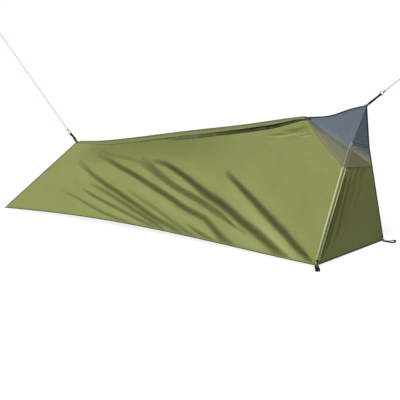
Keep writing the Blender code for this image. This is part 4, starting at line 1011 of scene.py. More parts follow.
@dataclass
class Piece:
    """What one piece of the looks is made of, before it becomes an object."""

    name: str
    body: str
    finish: Finish
    replaces: tuple[str, ...]
    slot: str
    points: list[Array] = field(default_factory=list)
    cloth: list[Array] = field(default_factory=list)
    painted_shading: list[Array] = field(default_factory=list)
    faces: list[tuple[int, ...]] = field(default_factory=list)
    count: int = 0

    def add(self, points: Array, cloth: Array, faces: list[tuple[int, ...]],
            painted_shading: Array | float = 0.0) -> None:
        """Adds points and faces.

        Args:
            points: Where they are.
            cloth: Their places on the cloth.
            faces: Each face's points, counted from the first of these.
            painted_shading: The painted shade of each, below nought for a painted highlight.
        """
        self.painted_shading.append(np.broadcast_to(painted_shading, points.shape[:-1]).reshape(-1))
        points = points.reshape(-1, 3)
        self.points.append(points)
        self.cloth.append(cloth.reshape(-1, 3))
        self.faces += [tuple(self.count + k for k in face) for face in faces]
        self.count += len(points)

    def sheet(self, grid: Array, painted_shading: Array | float = 0.0) -> None:
        """Adds an open sheet of cloth.

        Args:
            grid: Rows of points.
            painted_shading: The painted shade of each, below nought for a painted highlight.
        """
        rows, columns = grid.shape[:2]
        faces = [(i * columns + j, i * columns + j + 1, (i + 1) * columns + j + 1,
                  (i + 1) * columns + j) for i in range(rows - 1) for j in range(columns - 1)]
        self.add(grid, cut_places(grid), faces, painted_shading)

    def sweep(self, path: Array, profile: Array, facing: Array,
              closed: bool = False, swell: Array | float = 1.0, wide: float = 0.0,
              widths: Array | float = 1.0) -> None:
        """Adds an outline carried along a path.

        Args:
            path: The points to follow.
            profile: The outline, as places out from and beside the path.
            facing: The direction that counts as out.
            closed: Whether the path runs back to its start.
            swell: A factor on the outline at each point.
            wide: The width of the outline, where places on it are to be metres across.
            widths: A factor on its width alone at each point.
        """
        path = np.asarray(path, float)
        run = units(np.roll(path, -1, 0) - np.roll(path, 1, 0) if closed
                    else np.gradient(path, axis=0))
        side = units(np.cross(run, np.broadcast_to(facing, run.shape)))
        out = np.cross(side, run)
        size, broad = (np.broadcast_to(k, len(path))[:, None, None] for k in (swell, widths))
        ring = out[:, None] * profile[None, :, :1] + side[:, None] * profile[None, :, 1:] * broad
        count, sides = len(path), len(profile)
        round_it = profile[:, 1] + wide / 2 if wide else np.arange(sides) / sides
        cloth = np.zeros((count, sides, 3))
        cloth[..., 0] = reaches(path)[:, None]
        cloth[..., 1] = round_it[None]
        self.add(path[:, None] + ring * size, cloth, ring_faces(count, sides, closed))

    def block(self, middle: Array, axes: Sequence[Array], size: Sequence[float],
              round_off: float = 0.3) -> None:
        """Adds a small block with its edges drawn in at both ends of its first axis.

        Args:
            middle: Its middle.
            axes: Its three directions.
            size: Its size along each.
            round_off: The share by which they are drawn in.
        """
        a, b, c = axes
        rings = ((-0.5, 1 - round_off), (-0.5 + 0.5 * round_off, 1), (0.5 - 0.5 * round_off, 1),
                 (0.5, 1 - round_off))
        points = np.array([
            middle + a * size[0] * s + b * size[1] * 0.5 * f * p + c * size[2] * 0.5 * f * q
            for s, f in rings for p, q in ((-1, -1), (1, -1), (1, 1), (-1, 1))])
        self.add(points, points, ring_faces(len(rings), 4))

    def spread(self) -> bpy.types.Object:
        """Makes an open sheet, smooth all over."""
        return self.make(solid=False, smooth_angle=SMOOTH_ALL)

    def make(self, solid: bool = True, smooth_angle: float = 50.0) -> bpy.types.Object:
        """Makes the object, finishes it and hangs it on its body.

        Args:
            solid: Whether its faces are to be turned outward as those of closed forms.
            smooth_angle: The angle in degrees above which an edge shows sharp.

        Returns:
            The object.
        """
        mesh = bpy.data.meshes.new(self.name)
        points = np.concatenate(self.points) + TO_FRAME
        mesh.from_pydata(points.tolist(), [], self.faces)
        for key, kind, values in (("cloth", "FLOAT_VECTOR", np.concatenate(self.cloth)),
                                  ("painted_shading", "FLOAT", np.concatenate(self.painted_shading))):
            made = mesh.attributes.new(key, kind, "POINT")
            made.data.foreach_set("vector" if kind == "FLOAT_VECTOR" else "value",
                                  values.astype(np.float32).ravel())
        if solid:
            shell = bmesh.new()
            shell.from_mesh(mesh)
            bmesh.ops.recalc_face_normals(shell, faces=shell.faces)
            shell.to_mesh(mesh)
            shell.free()
        mesh.shade_smooth()
        if smooth_angle < SMOOTH_ALL:
            mesh.set_sharp_from_angle(angle=math.radians(smooth_angle))
        piece = placed(self.name, mesh)
        self.finish.on(piece)
        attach(piece, self.body)
        if self.replaces:
            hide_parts(*self.replaces)
        LOG.info("%s: %d faces on %s", self.name, len(self.faces), self.body)
        return piece


def ring_faces(count: int, sides: int, closed: bool = False) -> list[tuple[int, ...]]:
    """The faces between rings of points, with a cap on both ends unless they close.

    Args:
        count: How many rings there are.
        sides: Points in each ring.
        closed: Whether the last ring joins the first.

    Returns:
        The faces.
    """
    faces = []
    for k in range(count if closed else count - 1):
        a, b = k * sides, (k + 1) % count * sides
        faces += [(a + m, a + (m + 1) % sides, b + (m + 1) % sides, b + m) for m in range(sides)]
    if not closed:
        faces += [tuple(reversed(range(sides))), tuple(range((count - 1) * sides, count * sides))]
    return faces


def cut_places(grid: Array) -> Array:
    """Places on a sheet as it was cut.

    Args:
        grid: Rows of points.

    Returns:
        Metres along, metres up, and metres in from an edge.
    """
    along = np.linalg.norm(np.diff(grid, axis=1), axis=2)
    along = np.concatenate([np.zeros((grid.shape[0], 1)), np.cumsum(along, axis=1)], axis=1)
    up = np.linalg.norm(np.diff(grid, axis=0), axis=2)
    up = np.concatenate([np.zeros((1, grid.shape[1])), np.cumsum(up, axis=0)], axis=0)
    inside = np.minimum.reduce([along, along[:, -1:] - along, up, up[-1:] - up])
    middle = along - along[:, -1:] / 2 + along[:, -1:].max() / 2
    return np.stack([middle, up, inside], axis=2)


def sheet_area(grid: Array) -> float:
    """The area of a sheet.

    Args:
        grid: Rows of points.

    Returns:
        The area in square metres.
    """
    a = grid[1:, 1:] - grid[:-1, :-1]
    b = grid[1:, :-1] - grid[:-1, 1:]
    return float(np.linalg.norm(np.cross(a, b), axis=2).sum() / 2)


def placed(name: str, data: bpy.types.ID) -> bpy.types.Object:
    """Puts a new object into the scene.

    Args:
        name: Its name.
        data: The mesh, camera or lamp it shows.

    Returns:
        The new object.
    """
    made = bpy.data.objects.new(name, data)
    bpy.context.scene.collection.objects.link(made)
    return made


def circle(radius: float, sides: int) -> Array:
    """A round outline."""
    turn = np.linspace(0, 2 * math.pi, sides, endpoint=False)
    return np.stack([np.cos(turn), np.sin(turn)], axis=1) * radius


def strap(width: float, thickness: float) -> Array:
    """The outline of a strap with rounded firm edges.

    Args:
        width: Its width.
        thickness: Its thickness.

    Returns:
        Points round the outline, by thickness and width.
    """
    w, t = width / 2, thickness / 2
    return np.array([(-t, -w + t), (-t, 0), (-t, w - t), (-0.6 * t, w - 0.2 * t),
                     (0.6 * t, w - 0.2 * t), (t, w - t), (t, 0), (t, -w + t),
                     (0.6 * t, -w + 0.2 * t), (-0.6 * t, -w + 0.2 * t)])


def mm(*flat: int) -> tuple[tuple[float, float], ...]:
    """Places in metres from numbers in millimetres, along and up in turn."""
    return tuple((a / 1000, b / 1000) for a, b in zip(flat[::2], flat[1::2]))


@dataclass(frozen=True)
class Crease:
    """A tension crease: a steep fall on its upper side, with a broad soft rise below it.

    The two crowns are given by height, place and width, and the band of painted highlight by place
    and width, all across the crease and in its own width. Along the crease itself shade is painted,
    as strong as dark. HELD_BY_EDGES says how small a part of a sheet, one in so many, holds its
    creases flat at its foot, its top and its ends, and HEM_CLEAR the same of their painted shade at
    its foot. Bands of painted highlight fade out where painted crease shade reaches LIT_UNDER.
    """

    VALLEY_PLACE = 0.75
    UPPER_CROWN = (0.16, 2.5, 1.3)
    LOWER_CROWN = (0.34, -2.1, 1.1)
    LIT_BAND = (2.4, 0.9)
    STARTS_OVER = 0.14
    ENDS_OVER = 0.10
    HELD_BY_EDGES = (20, 14, 30)
    LIT_UNDER = 0.2
    HEM_CLEAR = 70

    points: tuple[tuple[float, float], ...]
    width: float
    depth: float
    dark: float = 0.35
    lit: float = 0.0
    start: float = 0.6
    end: float = 0.8
    soft: float = 2.4
    blunt: float = 0.5
    tail: float = 0.5

    def height(self, along: Array, up: Array) -> tuple[Array, Array]:
        """How far the crease moves cloth out at given places, and the shade painted there.

        Args:
            along: Each place along the sheet.
            up: Each place up the sheet.

        Returns:
            The moves in metres, and the painted shade, up to one and below nought for a painted
            highlight.
        """
        route = np.array(self.points)
        starts = reaches(route)
        best = np.full(along.shape, np.inf)
        share, side = np.zeros(along.shape), np.ones(along.shape)
        for a, b, start, length in zip(route, route[1:], starts, np.diff(starts)):
            run = (b - a) / length
            x, z = along - a[0], up - a[1]
            t = np.clip(x * run[0] + z * run[1], 0, length)
            away = np.hypot(x - t * run[0], z - t * run[1])
            closer = away < best
            best = np.where(closer, away, best)
            share = np.where(closer, (start + t) / starts[-1], share)
            side = np.where(closer, np.sign(run[0] * z - run[1] * x), side)
        fade = np.sin(np.pi * np.clip(share, 0, 1))
        fade = fade ** np.where(share < 0.5, self.blunt, self.tail)
        held = smooth(share / self.STARTS_OVER) * smooth((1 - share) / self.ENDS_OVER)
        width = self.width * np.interp(share, (0, 0.4, 0.8, 1), (self.start, 1, 1, self.end))
        # Painted shade along the crease, less a band of painted highlight beside it.
        fall = self.dark * np.exp(-(best / width) ** 5)
        glow = self.lit * held * smooth(1.5 * share)
        fall -= glow * hill(-side * best / width, *self.LIT_BAND)
        place = side * best / width + self.VALLEY_PLACE
        valley = hill(np.where(place > 0, place, place / self.soft), 0, 1)
        upper, lower = self.UPPER_CROWN, self.LOWER_CROWN
        crown = upper[0] * hill(place, *upper[1:]) + lower[0] * hill(place / self.soft, *lower[1:])
        return held * self.depth * (crown - valley), fade * fall


def creased(grid: Array, outward: Array, creases: Sequence[Crease],
            along: Array, up: Array) -> tuple[Array, Array]:
    """Presses creases into a sheet and paints their shade and highlights.

    Args:
        grid: The sheet's points.
        outward: The direction out of the sheet.
        creases: What to press into it.
        along: Each point's place along the sheet, as the creases count it.
        up: Each point's place up the sheet.

    Returns:
        The points once moved, and the painted shade of each, up to one and below nought for a
        painted highlight.
    """
    rows, columns = grid.shape[:2]
    v = np.linspace(0, 1, rows)[:, None]
    u = np.linspace(0, 1, columns)[None]
    low, high, ends = Crease.HELD_BY_EDGES
    held = smooth(low * v) * smooth(high * (1 - v)) * smooth(ends * u) * smooth(ends * (1 - u))
    moved, dark, lit = (np.zeros(grid.shape[:2]) for _ in range(3))
    for crease in creases:
        height, deep = crease.height(along, up)
        moved += height
        dark, lit = np.maximum(dark, deep), np.minimum(lit, deep)
    painted_shading = (dark + lit * (1 - smooth(dark / Crease.LIT_UNDER))) * smooth(Crease.HEM_CLEAR * v)
    return grid + outward * (moved * held)[..., None], painted_shading


@dataclass
class Patch:
    """A smooth sheet filling four edges."""

    bottom: Edge
    top: Edge
    left: Edge
    right: Edge
    columns: int
    rows: int
    margins: tuple[float | Array, ...] = (SHEET_MARGIN,) * 4
    rise_to: float = 1.0
    most_drawn_in: float = 0.3
    least: float = 1e-6

    def shares(self) -> tuple[Array, Array]:
        """Each point's shares along and up, drawn in from the edges by their margins.

        Returns:
            The shares along and the shares up.
        """
        u, v = np.meshgrid(np.linspace(0, 1, self.columns + 1),
                           np.linspace(0, self.rise_to, self.rows + 1))
        low, right, high, left = self.margins
        wide = np.linalg.norm(self.right(v) - self.left(v), axis=-1) + self.least
        tall = np.linalg.norm(self.top(u) - self.bottom(u), axis=-1) + self.least
        left, right = (np.minimum(k / wide, self.most_drawn_in) for k in (left, right))
        low, high = (np.minimum(k / tall, self.most_drawn_in) for k in (low, high))
        return left + (1 - left - right) * u, low + (1 - low - high) * v

    def points(self) -> Array:
        """The sheet's points.

        Returns:
            The points, row by row.
        """
        u, v = self.shares()
        low, high, left, right = self.bottom(u), self.top(u), self.left(v), self.right(v)
        ruled = low + (high - low) * v[..., None] + left + (right - left) * u[..., None]
        low, high = (between(*edge(np.array([0.0, 1.0])), u) for edge in (self.bottom, self.top))
        return ruled - (low + (high - low) * v[..., None])

    def bellied(self, inward: Array, depth: float) -> Array:
        """The points once the sheet hangs in by a depth, still held at its edges."""
        u, v = self.shares()
        return self.points() + inward * (np.sin(np.pi * u) * np.sin(np.pi * v) * depth)[..., None]


def near_creases() -> tuple[Crease, ...]:
    """The creases of the near side.

    Returns:
        The creases, by places ahead of the middle of the floor and over it.
    """
    return (
        Crease(mm(360, 384, 383, 365, 452, 328, 526, 292, 593, 262, 666, 226, 730, 194, 800, 160,
                  866, 130, 937, 90, 996, 62, 1064, 31, 1138, -4),
               0.024, 0.026, 1.0, 0.42, 0.7, 0.30, blunt=0.25, tail=0.12),
        Crease(mm(-190, 360, -151, 365, -90, 360, -30, 345, 41, 324, 109, 302, 178, 276, 251, 250,
                  376, 216, 445, 193, 517, 163, 582, 138, 649, 115, 711, 91, 778, 63, 845, 35,
                  950, -6), 0.025, 0.029, 1.0, 0.16, 0.5, 0.9, blunt=0.2, tail=0.10),
        Crease(mm(-290, 362, -196, 331, -139, 310, -62, 284, 6, 261, 77, 242, 144, 226, 208, 211,
                  272, 193, 341, 173, 407, 153, 479, 126, 542, 105),
               0.017, 0.014, 1.0, 0.14, 1.6, 0.3, 1.8, 0.35, 0.35),
        Crease(mm(-631, 345, -531, 328, -453, 310, -381, 295, -311, 280, -241, 263, -166, 243,
                  -96, 225, -26, 207, 42, 190, 108, 169, 177, 151, 239, 139, 306, 124, 378, 91,
                  450, 52, 520, 20, 560, 0),
               0.017, 0.020, 0.95, 0.12, 0.8, 1.6, blunt=0.3, tail=0.10),
        Crease(mm(-752, 296, -685, 269, -604, 239, -527, 217, -451, 196, -377, 178, -306, 158,
                  -231, 139, -164, 120, -93, 99, -24, 80, 42, 64, 108, 48, 190, 28, 285, 2),
               0.014, 0.014, 0.85, 0.10, 1.0, 0.5, 1.8, 0.35, 0.15),
        Crease(mm(-600, 196, -499, 175, -430, 159, -357, 141, -282, 122, -215, 104, -142, 86,
                  -73, 68, 0, 48, 75, 24, 150, 0),
               0.011, 0.011, 0.85, 0.10, 0.8, 0.6, 1.6, 0.35, 0.15),
        Crease(mm(-640, 162, -538, 139, -467, 124, -397, 110, -331, 98, -260, 83, -193, 70,
                  -128, 57, -60, 44, 10, 26, 85, 4),
               0.009, 0.008, 0.80, 0.10, 0.8, 0.6, 1.6, tail=0.2),
        Crease(mm(-786, 131, -719, 124, -646, 112, -574, 96, -500, 79, -431, 66, -362, 54, -299, 45,
                  -225, 36, -150, 24, -70, 8), 0.008, 0.006, 0.50, soft=1.6, tail=0.2),
        Crease(mm(-320, 205, -257, 183, -183, 162, -116, 144, -48, 126, 25, 104, 97, 79, 159, 62,
                  235, 40, 300, 18, 355, 0), 0.012, 0.008, 0.45, soft=1.6, tail=0.2),
        Crease(mm(200, 82, 278, 56, 341, 40, 415, 22, 470, 4),
               0.010, 0.009, 0.70, soft=1.6, tail=0.2),
        Crease(mm(440, 138, 542, 107, 610, 88), 0.007, 0.004, 0.35, soft=1.6),
        Crease(mm(-640, 372, -550, 356, -481, 354, -420, 355, -352, 353, -284, 346, -230, 336),
               0.011, 0.005, 0.28),
        Crease(mm(577, 598, 603, 604, 694, 622, 781, 646, 859, 673),
               0.0055, 0.006, 0.55, 0.40, soft=1.4),
        Crease(mm(668, 628, 711, 640, 777, 656, 850, 683), 0.0060, 0.006, 0.55, 0.40, soft=1.4),
        Crease(mm(778, 633, 815, 645, 865, 659), 0.0040, 0.004, 0.40, 0.40, soft=1.4),
        Crease(mm(800, 625, 841, 636, 885, 648), 0.0040, 0.004, 0.40, 0.40, soft=1.4))


def far_creases() -> tuple[Crease, ...]:
    """The creases of the far side, a looser fan than that of the near side.

    Returns:
        The creases, by places ahead of the middle of the floor and over it.
    """
    return (
        Crease(mm(300, 420, 460, 340, 640, 250, 820, 160, 1020, 50), 0.016, 0.014),
        Crease(mm(-100, 370, 80, 310, 270, 240, 470, 160, 660, 70), 0.018, 0.015),
        Crease(mm(-520, 330, -330, 270, -120, 210, 100, 140, 300, 60), 0.015, 0.012),
        Crease(mm(-740, 270, -560, 210, -360, 150, -140, 80), 0.012, 0.008),
        Crease(mm(-200, 240, -20, 180, 180, 110), 0.010, 0.006),
        Crease(mm(550, 600, 720, 640, 860, 680), 0.009, 0.005))


@dataclass
class Canopy:
    """The cloth sides and the cloth foot end.

    The near side's broad painted shade is given by shares of its height and, from the foot, its
    length.
    """

    near_sag: float = 0.022
    far_sag: float = 0.030
    foot_sag: float = 0.015
    seam_strip: float = 0.022
    piped_share: float = 0.60
    seam_share: float = 14 / 22
    zip_foot: float = 0.012
    zip_foot_over: float = 0.022
    piped_steep: float = 25.0
    shade: float = 0.46
    shade_from: float = 0.55
    shade_over: float = 0.36
    shade_start: float = 0.16
    shade_end: float = 0.78
    shade_back: float = 0.34
    near_cells: tuple[int, int] = (440, 130)
    far_cells: tuple[int, int] = (200, 60)
    foot_cells: tuple[int, int] = (48, 44)
    foot_rise: float = 0.965

    def side(self, name: str, near: bool, columns: int, rows: int) -> None:
        """One cloth side.

        Args:
            name: The piece's name.
            near: Whether it is the near side.
            columns: How many stretches it has along.
            rows: How many it has up.
        """
        corner = TENT.near_foot if near else TENT.far_foot
        head = TENT.near_head if near else TENT.far_head
        start = TENT.near_seam if near else TENT.far_seam
        out = unit(vec(0.0, (-1 if near else 1) * TENT.head_height, TENT.floor_width / 2))
        end = joined(line(head, start), TENT.side_seam(start), self.seam_share)
        gap = ZIP.piping_place if near else SHEET_MARGIN
        patch = Patch(TENT.near_hem if near else TENT.far_hem, TENT.cloth_ridge,
                      line(corner, TENT.foot_apex), end, columns, rows)
        share = patch.shares()[1]
        gap = gap * (1 - smooth((share - self.piped_share) * self.piped_steep))
        gap = gap * smooth((share - self.zip_foot) / self.zip_foot_over) + SHEET_MARGIN
        patch.margins = (SHEET_MARGIN, gap, SHEET_MARGIN, SHEET_MARGIN)
        flat = patch.bellied(-out, self.near_sag if near else self.far_sag)
        creases = near_creases() if near else far_creases()
        grid, painted_shading = creased(flat, out, creases, flat[..., 0], flat[..., 2])
        if near:
            u, v = patch.shares()
            # Painted shade over the upper part of the near side, fading out towards the head end.
            shade = smooth((v - self.shade_from) / self.shade_over)
            shade = shade * smooth((self.shade_end - u) / self.shade_back)
            shade = shade * smooth(u / self.shade_start)
            painted_shading = painted_shading * (1 - self.shade * shade) + self.shade * shade
        else:
            # The far side is painted darker over a strip along its mesh seam.
            reach = np.linalg.norm(grid - grid[:, -1:], axis=2)
            painted_shading = np.maximum(painted_shading, 1 - smooth(reach / self.seam_strip))
            grid, painted_shading = grid[:, ::-1], painted_shading[:, ::-1]
        piece = Piece(name, "shelter", Finish.CLOTH, (name.replace("fabric", "panel"),), "cloth")
        piece.sheet(grid, painted_shading)
        piece.spread()
        sheet_area(flat)

    def foot_end(self) -> None:
        """The three-sided cloth end at the foot."""
        left, right = line(TENT.near_foot, TENT.foot_apex), line(TENT.far_foot, TENT.foot_apex)
        patch = Patch(TENT.foot_hem, line(TENT.foot_apex, TENT.foot_apex), left, right,
                      *self.foot_cells, rise_to=self.foot_rise)
        inward = unit(vec(TENT.foot_height, 0.0, -TENT.foot_setback))
        flat = patch.bellied(inward, self.foot_sag)
        creases = (Crease(mm(-160, 30, -90, 160, -20, 330), 0.010, 0.005),
                   Crease(mm(130, 50, 70, 180, 15, 330), 0.010, 0.005),
                   Crease(mm(-20, 20, 0, 120, 0, 220), 0.012, 0.004))
        grid, painted_shading = creased(flat, -inward, creases, flat[..., 1], flat[..., 2])
        piece = Piece("foot_end_fabric", "shelter", Finish.CLOTH, ("foot_end_panel",), "cloth")
        piece.sheet(grid[:, ::-1], painted_shading[:, ::-1])
        piece.spread()
        sheet_area(flat)

    def build(self) -> None:
        """Makes the three sheets."""
        self.side("near_side_fabric", True, *self.near_cells)
        self.side("far_side_fabric", False, *self.far_cells)
        self.foot_end()


@dataclass
class MeshPeak:
    """The fixed mesh under the head end of the ridge."""

    sag: float = 0.010
    edge_gap: float = 0.002
    stop_over: float = 0.014
    gather: float = 0.07
    gather_turns: tuple[float, ...] = (1.30, 1.60, 1.95, 2.35)
    near_gathers: tuple[float, float] = (1.140, 0.632)
    far_gathers: tuple[float, float] = (1.130, 0.590)
    cells: tuple[int, int] = (48, 44)
    cap_cells: tuple[int, int] = (26, 26)
    cap_gap: float = 0.0006
    cap_rise: float = 0.95

    def side(self, name: str, near: bool) -> None:
        """The mesh in one side of the peak.

        Args:
            name: The piece's name.
            near: Whether it is the near side.
        """
        start = TENT.near_seam if near else TENT.far_seam
        top = TENT.zip_top if near else TENT.hinge_top
        away = -1.0 if near else 1.0
        inward = -unit(vec(0.0, away * TENT.head_height, TENT.floor_width / 2))
        low = ZIP.tape_end if near else SHEET_MARGIN
        patch = Patch(line(start, top), TENT.mesh_ridge, TENT.side_seam(start),
                      line(top, TENT.head_apex), *self.cells, (low, *(self.edge_gap,) * 3))
        flat = patch.bellied(inward, self.sag)
        grid, painted_shading = creased(flat, -inward, self.gathers(near), flat[..., 0], flat[..., 2])
        if near:
            up, aside = ((grid - TENT.near_head) @ way for way in (ZIP.run, ZIP.into_side))
            past = smooth((ZIP.length + self.stop_over - up) / self.stop_over)
            grid = grid + (np.maximum(ZIP.tape_end - aside, 0) * past)[..., None] * ZIP.into_side
        else:
            grid, painted_shading = grid[:, ::-1], painted_shading[:, ::-1]
        piece = Piece(name, "shelter", Finish.MESH, (name.replace("net", "panel"),), "mesh")
        piece.sheet(grid, painted_shading)
        piece.spread()
        sheet_area(flat)

    def gathers(self, near: bool) -> tuple[Crease, ...]:
        """Small gathers that run out from the end of the zip or of the hinge line.

        Args:
            near: Whether it is the near side.

        Returns:
            The gathers, as creases.
        """
        x, z = self.near_gathers if near else self.far_gathers
        return tuple(
            Crease(((x, z), (x + self.gather * math.cos(a), z + self.gather * math.sin(a))),
                   0.004, 0.0045, soft=1.3) for a in self.gather_turns)

    def cap(self) -> None:
        """The fixed three-sided mesh over the door."""
        apex = TENT.head_apex
        patch = Patch(line(TENT.zip_top, TENT.hinge_top), line(apex, apex),
                      line(TENT.zip_top, apex), line(TENT.hinge_top, apex), *self.cap_cells,
                      (self.cap_gap, self.edge_gap, 0.0, self.edge_gap), self.cap_rise)
        grid = patch.points()
        piece = Piece("head_mesh_cap_net", "shelter", Finish.CAP_MESH, ("head_mesh_cap",), "mesh")
        piece.sheet(grid)
        piece.spread()
        sheet_area(grid)

    def build(self) -> None:
        """Makes the mesh of the peak."""
        self.side("near_mesh_net", True)
        self.side("far_mesh_net", False)
        self.cap()


@dataclass
class Groundsheet:
    """The floor: flat on the ground and drawn up to its hems all round."""

    thickness: float = 0.0012
    edge_band: float = 0.10
    ripple: float = 0.004
    cells: tuple[int, int] = (110, 44)

    def build(self) -> None:
        """Makes the floor."""
        sill = line(TENT.near_head, TENT.far_head)
        patch = Patch(TENT.near_hem, TENT.far_hem, TENT.foot_hem, sill, *self.cells)
        grid = patch.points()
        u, v = patch.shares()
        base = self.thickness
        lifts = ((TENT.near_hem(u)[..., 2], v * TENT.floor_width),
                 (TENT.far_hem(u)[..., 2], (1 - v) * TENT.floor_width),
                 (TENT.foot_hem(v)[..., 2], u * TENT.floor_length),
                 (sill(v)[..., 2], (1 - u) * TENT.floor_length))
        rise = np.max([(z - base) * smooth(1 - d / self.edge_band) for z, d in lifts], axis=0)
        ripple = 0.5 + 0.25 * (np.sin(17 * u + 9 * v + 2 * np.sin(7 * v))
                               + np.sin(31 * u - 13 * v + 1.7))
        ripple = self.ripple * ripple * np.sin(np.pi * u) * np.sin(np.pi * v)
        grid[..., 2] = base + rise + ripple
        piece = Piece("groundsheet_cloth", "shelter", Finish.FLOOR, ("groundsheet",), "floor")
        piece.sheet(grid)
        piece.spread()


@dataclass
class RidgeTrim:
    """What runs along the ridge: the sewn tape, the flap over the cloth, and a dark strip of
    painted shade under the flap.
    """

    near_width: float = 0.025
    far_width: float = 0.020
    end_width: float = 0.010
    taper_length: float = 0.26
    standoff: float = 0.011
    thickness: float = 0.0012
    past: float = 0.024
    flap_start: float = 0.0226
    gusset_start: float = 0.66
    clearance: float = 0.0005
    floor_gap: float = 0.0014
    flutter: float = 0.0010
    flutter_out: float = 0.0014
    flap_step: float = 0.010
    gusset_step: float = 0.012
    tape_step: float = 0.008
    shown_least: float = 0.002
    shown_more: float = 0.0165
    puff_least: float = 0.0007
    puff: float = 0.001
    tucked: float = 0.08

    def whole(self) -> float:
        """The straight length of the cloth part of the ridge."""
        return distance(TENT.cloth_ridge(1.0), TENT.cloth_ridge(0.0))

    def slopes(self, middle: Array, side: float) -> tuple[Array, Array]:
        """The ways down and out of the tent's side at points of the ridge.

        Args:
            middle: The points of the ridge.
            side: Plus one for the far side, minus one for the near side.

        Returns:
            The directions down and out.
        """
        level, high = np.zeros(len(middle)), middle[:, 2]
        half = np.full(len(middle), TENT.floor_width / 2)
        return (units(np.stack([level, side * half, -high], axis=1)),
                units(np.stack([level, side * high, half], axis=1)))

    def flap(self) -> None:
        """The folded strip over the cloth part of the ridge."""
        middle = stretch(TENT.cloth_ridge, self.flap_step, self.flap_start, self.clearance)
        t = np.linspace(0, 1, len(middle))
        full = smooth(np.minimum(t, 1 - t) * self.whole() / self.taper_length)
        lift = TENT.roll + self.clearance + self.thickness / 2
        flutter = np.sin(43 * t + 1.1) + 0.6 * np.sin(97 * t) + 0.4 * np.sin(171 * t + 2)
        raised = 0.25 * smooth((t - 0.36) / 0.10) + 0.75 * smooth((t - 0.58) / 0.25)
        raised = raised * (0.35 + 0.65 * full)
        rows, painted_shading = [], []
        half = ((0.25, 0.35), (0.45, 0.6), (0.6, 0.72), (0.8, 0.88), (0.93, 0.98), (1, 1.0))
        for share, rise in (*((-share, rise) for share, rise in half[::-1]), (0, 0), *half):
            width = self.near_width if share < 0 else self.far_width
            width = self.end_width + (width - self.end_width) * full
            away = self.standoff * (1.0 if share < 0 else 0.5)
            down, out = self.slopes(middle, -1.0 if share < 0 else 1.0)
            reach = (width + self.flutter * flutter) * abs(share)
            low = lift + (self.floor_gap - lift) * abs(share)**2
            up = low + (away * rise + self.flutter_out * flutter * rise**2) * raised
            row = middle + down * reach[:, None] + out * np.maximum(up, low)[:, None]
            if share == 0:
                row = middle + vec(0, 0, 1.6 * lift)
            rows.append(row)
            # The flap is painted darker along its top fold.
            painted_shading.append(np.full(len(t), math.exp(-(share / 0.3)**4)))
        grid = np.array(rows)
        piece = Piece("ridge_flap", "shelter", Finish.FLAP, ("ridge_cover",), "cloth")
        piece.sheet(grid, np.array(painted_shading))
        piece.spread()
        sheet_area(grid)

    def gusset(self) -> None:
        """A dark strip along the near side under the flap: painted shadow of the flap, darker
        towards the head.
        """
        whole = self.whole() - self.gusset_start
        middle = stretch(TENT.ridge, self.gusset_step, self.gusset_start,
                         TENT.mesh_ridge_length - self.past)
        t = np.linspace(0, 1 + self.past / whole, len(middle))
        down, out = self.slopes(middle, -1.0)
        full = smooth(np.maximum(1 - t, 0) * whole / self.taper_length)
        cover = self.end_width + (self.near_width - self.end_width) * full
        shown = smooth(t / 0.20) * (1 - 0.55 * smooth((t - 0.80) / 0.20))
        deep = cover + self.shown_least + self.shown_more * shown
        rows = []
        for share in np.linspace(0.30, 1.0, 7):
            puff = self.puff * math.sin(math.pi * share) * (1 + 0.5 * np.sin(60 * t))
            puff += self.puff_least - self.tucked * deep * share**3
            rows.append(middle + down * (deep * share)[:, None] + out * puff[:, None])
        grid = np.array(rows)[::-1]
        # Painted shade that deepens towards the head end.
        painted_shading = np.broadcast_to(smooth((t + 0.02) / 0.70), grid.shape[:2])
        piece = Piece("ridge_shade_strip", "shelter", Finish.GUSSET, (), "seam_cloth")
        piece.sheet(grid, painted_shading)
        piece.spread()

    def tape(self) -> None:
        """The dark tape sewn into the whole ridge."""
        path = stretch(TENT.ridge, self.tape_step, TENT.apex_seat, TENT.apex_seat)
        piece = Piece("ridge_tape", "shelter", Finish.RIDGE_TAPE, ("ridge_webbing",), "webbing")
        piece.sweep(path, circle(TENT.roll, 10) * (1.0, 0.8), vec(0, 0, 1))
        piece.make()

    def build(self) -> None:
        """Makes the ridge trims."""
        self.tape()
        self.gusset()
        self.flap()


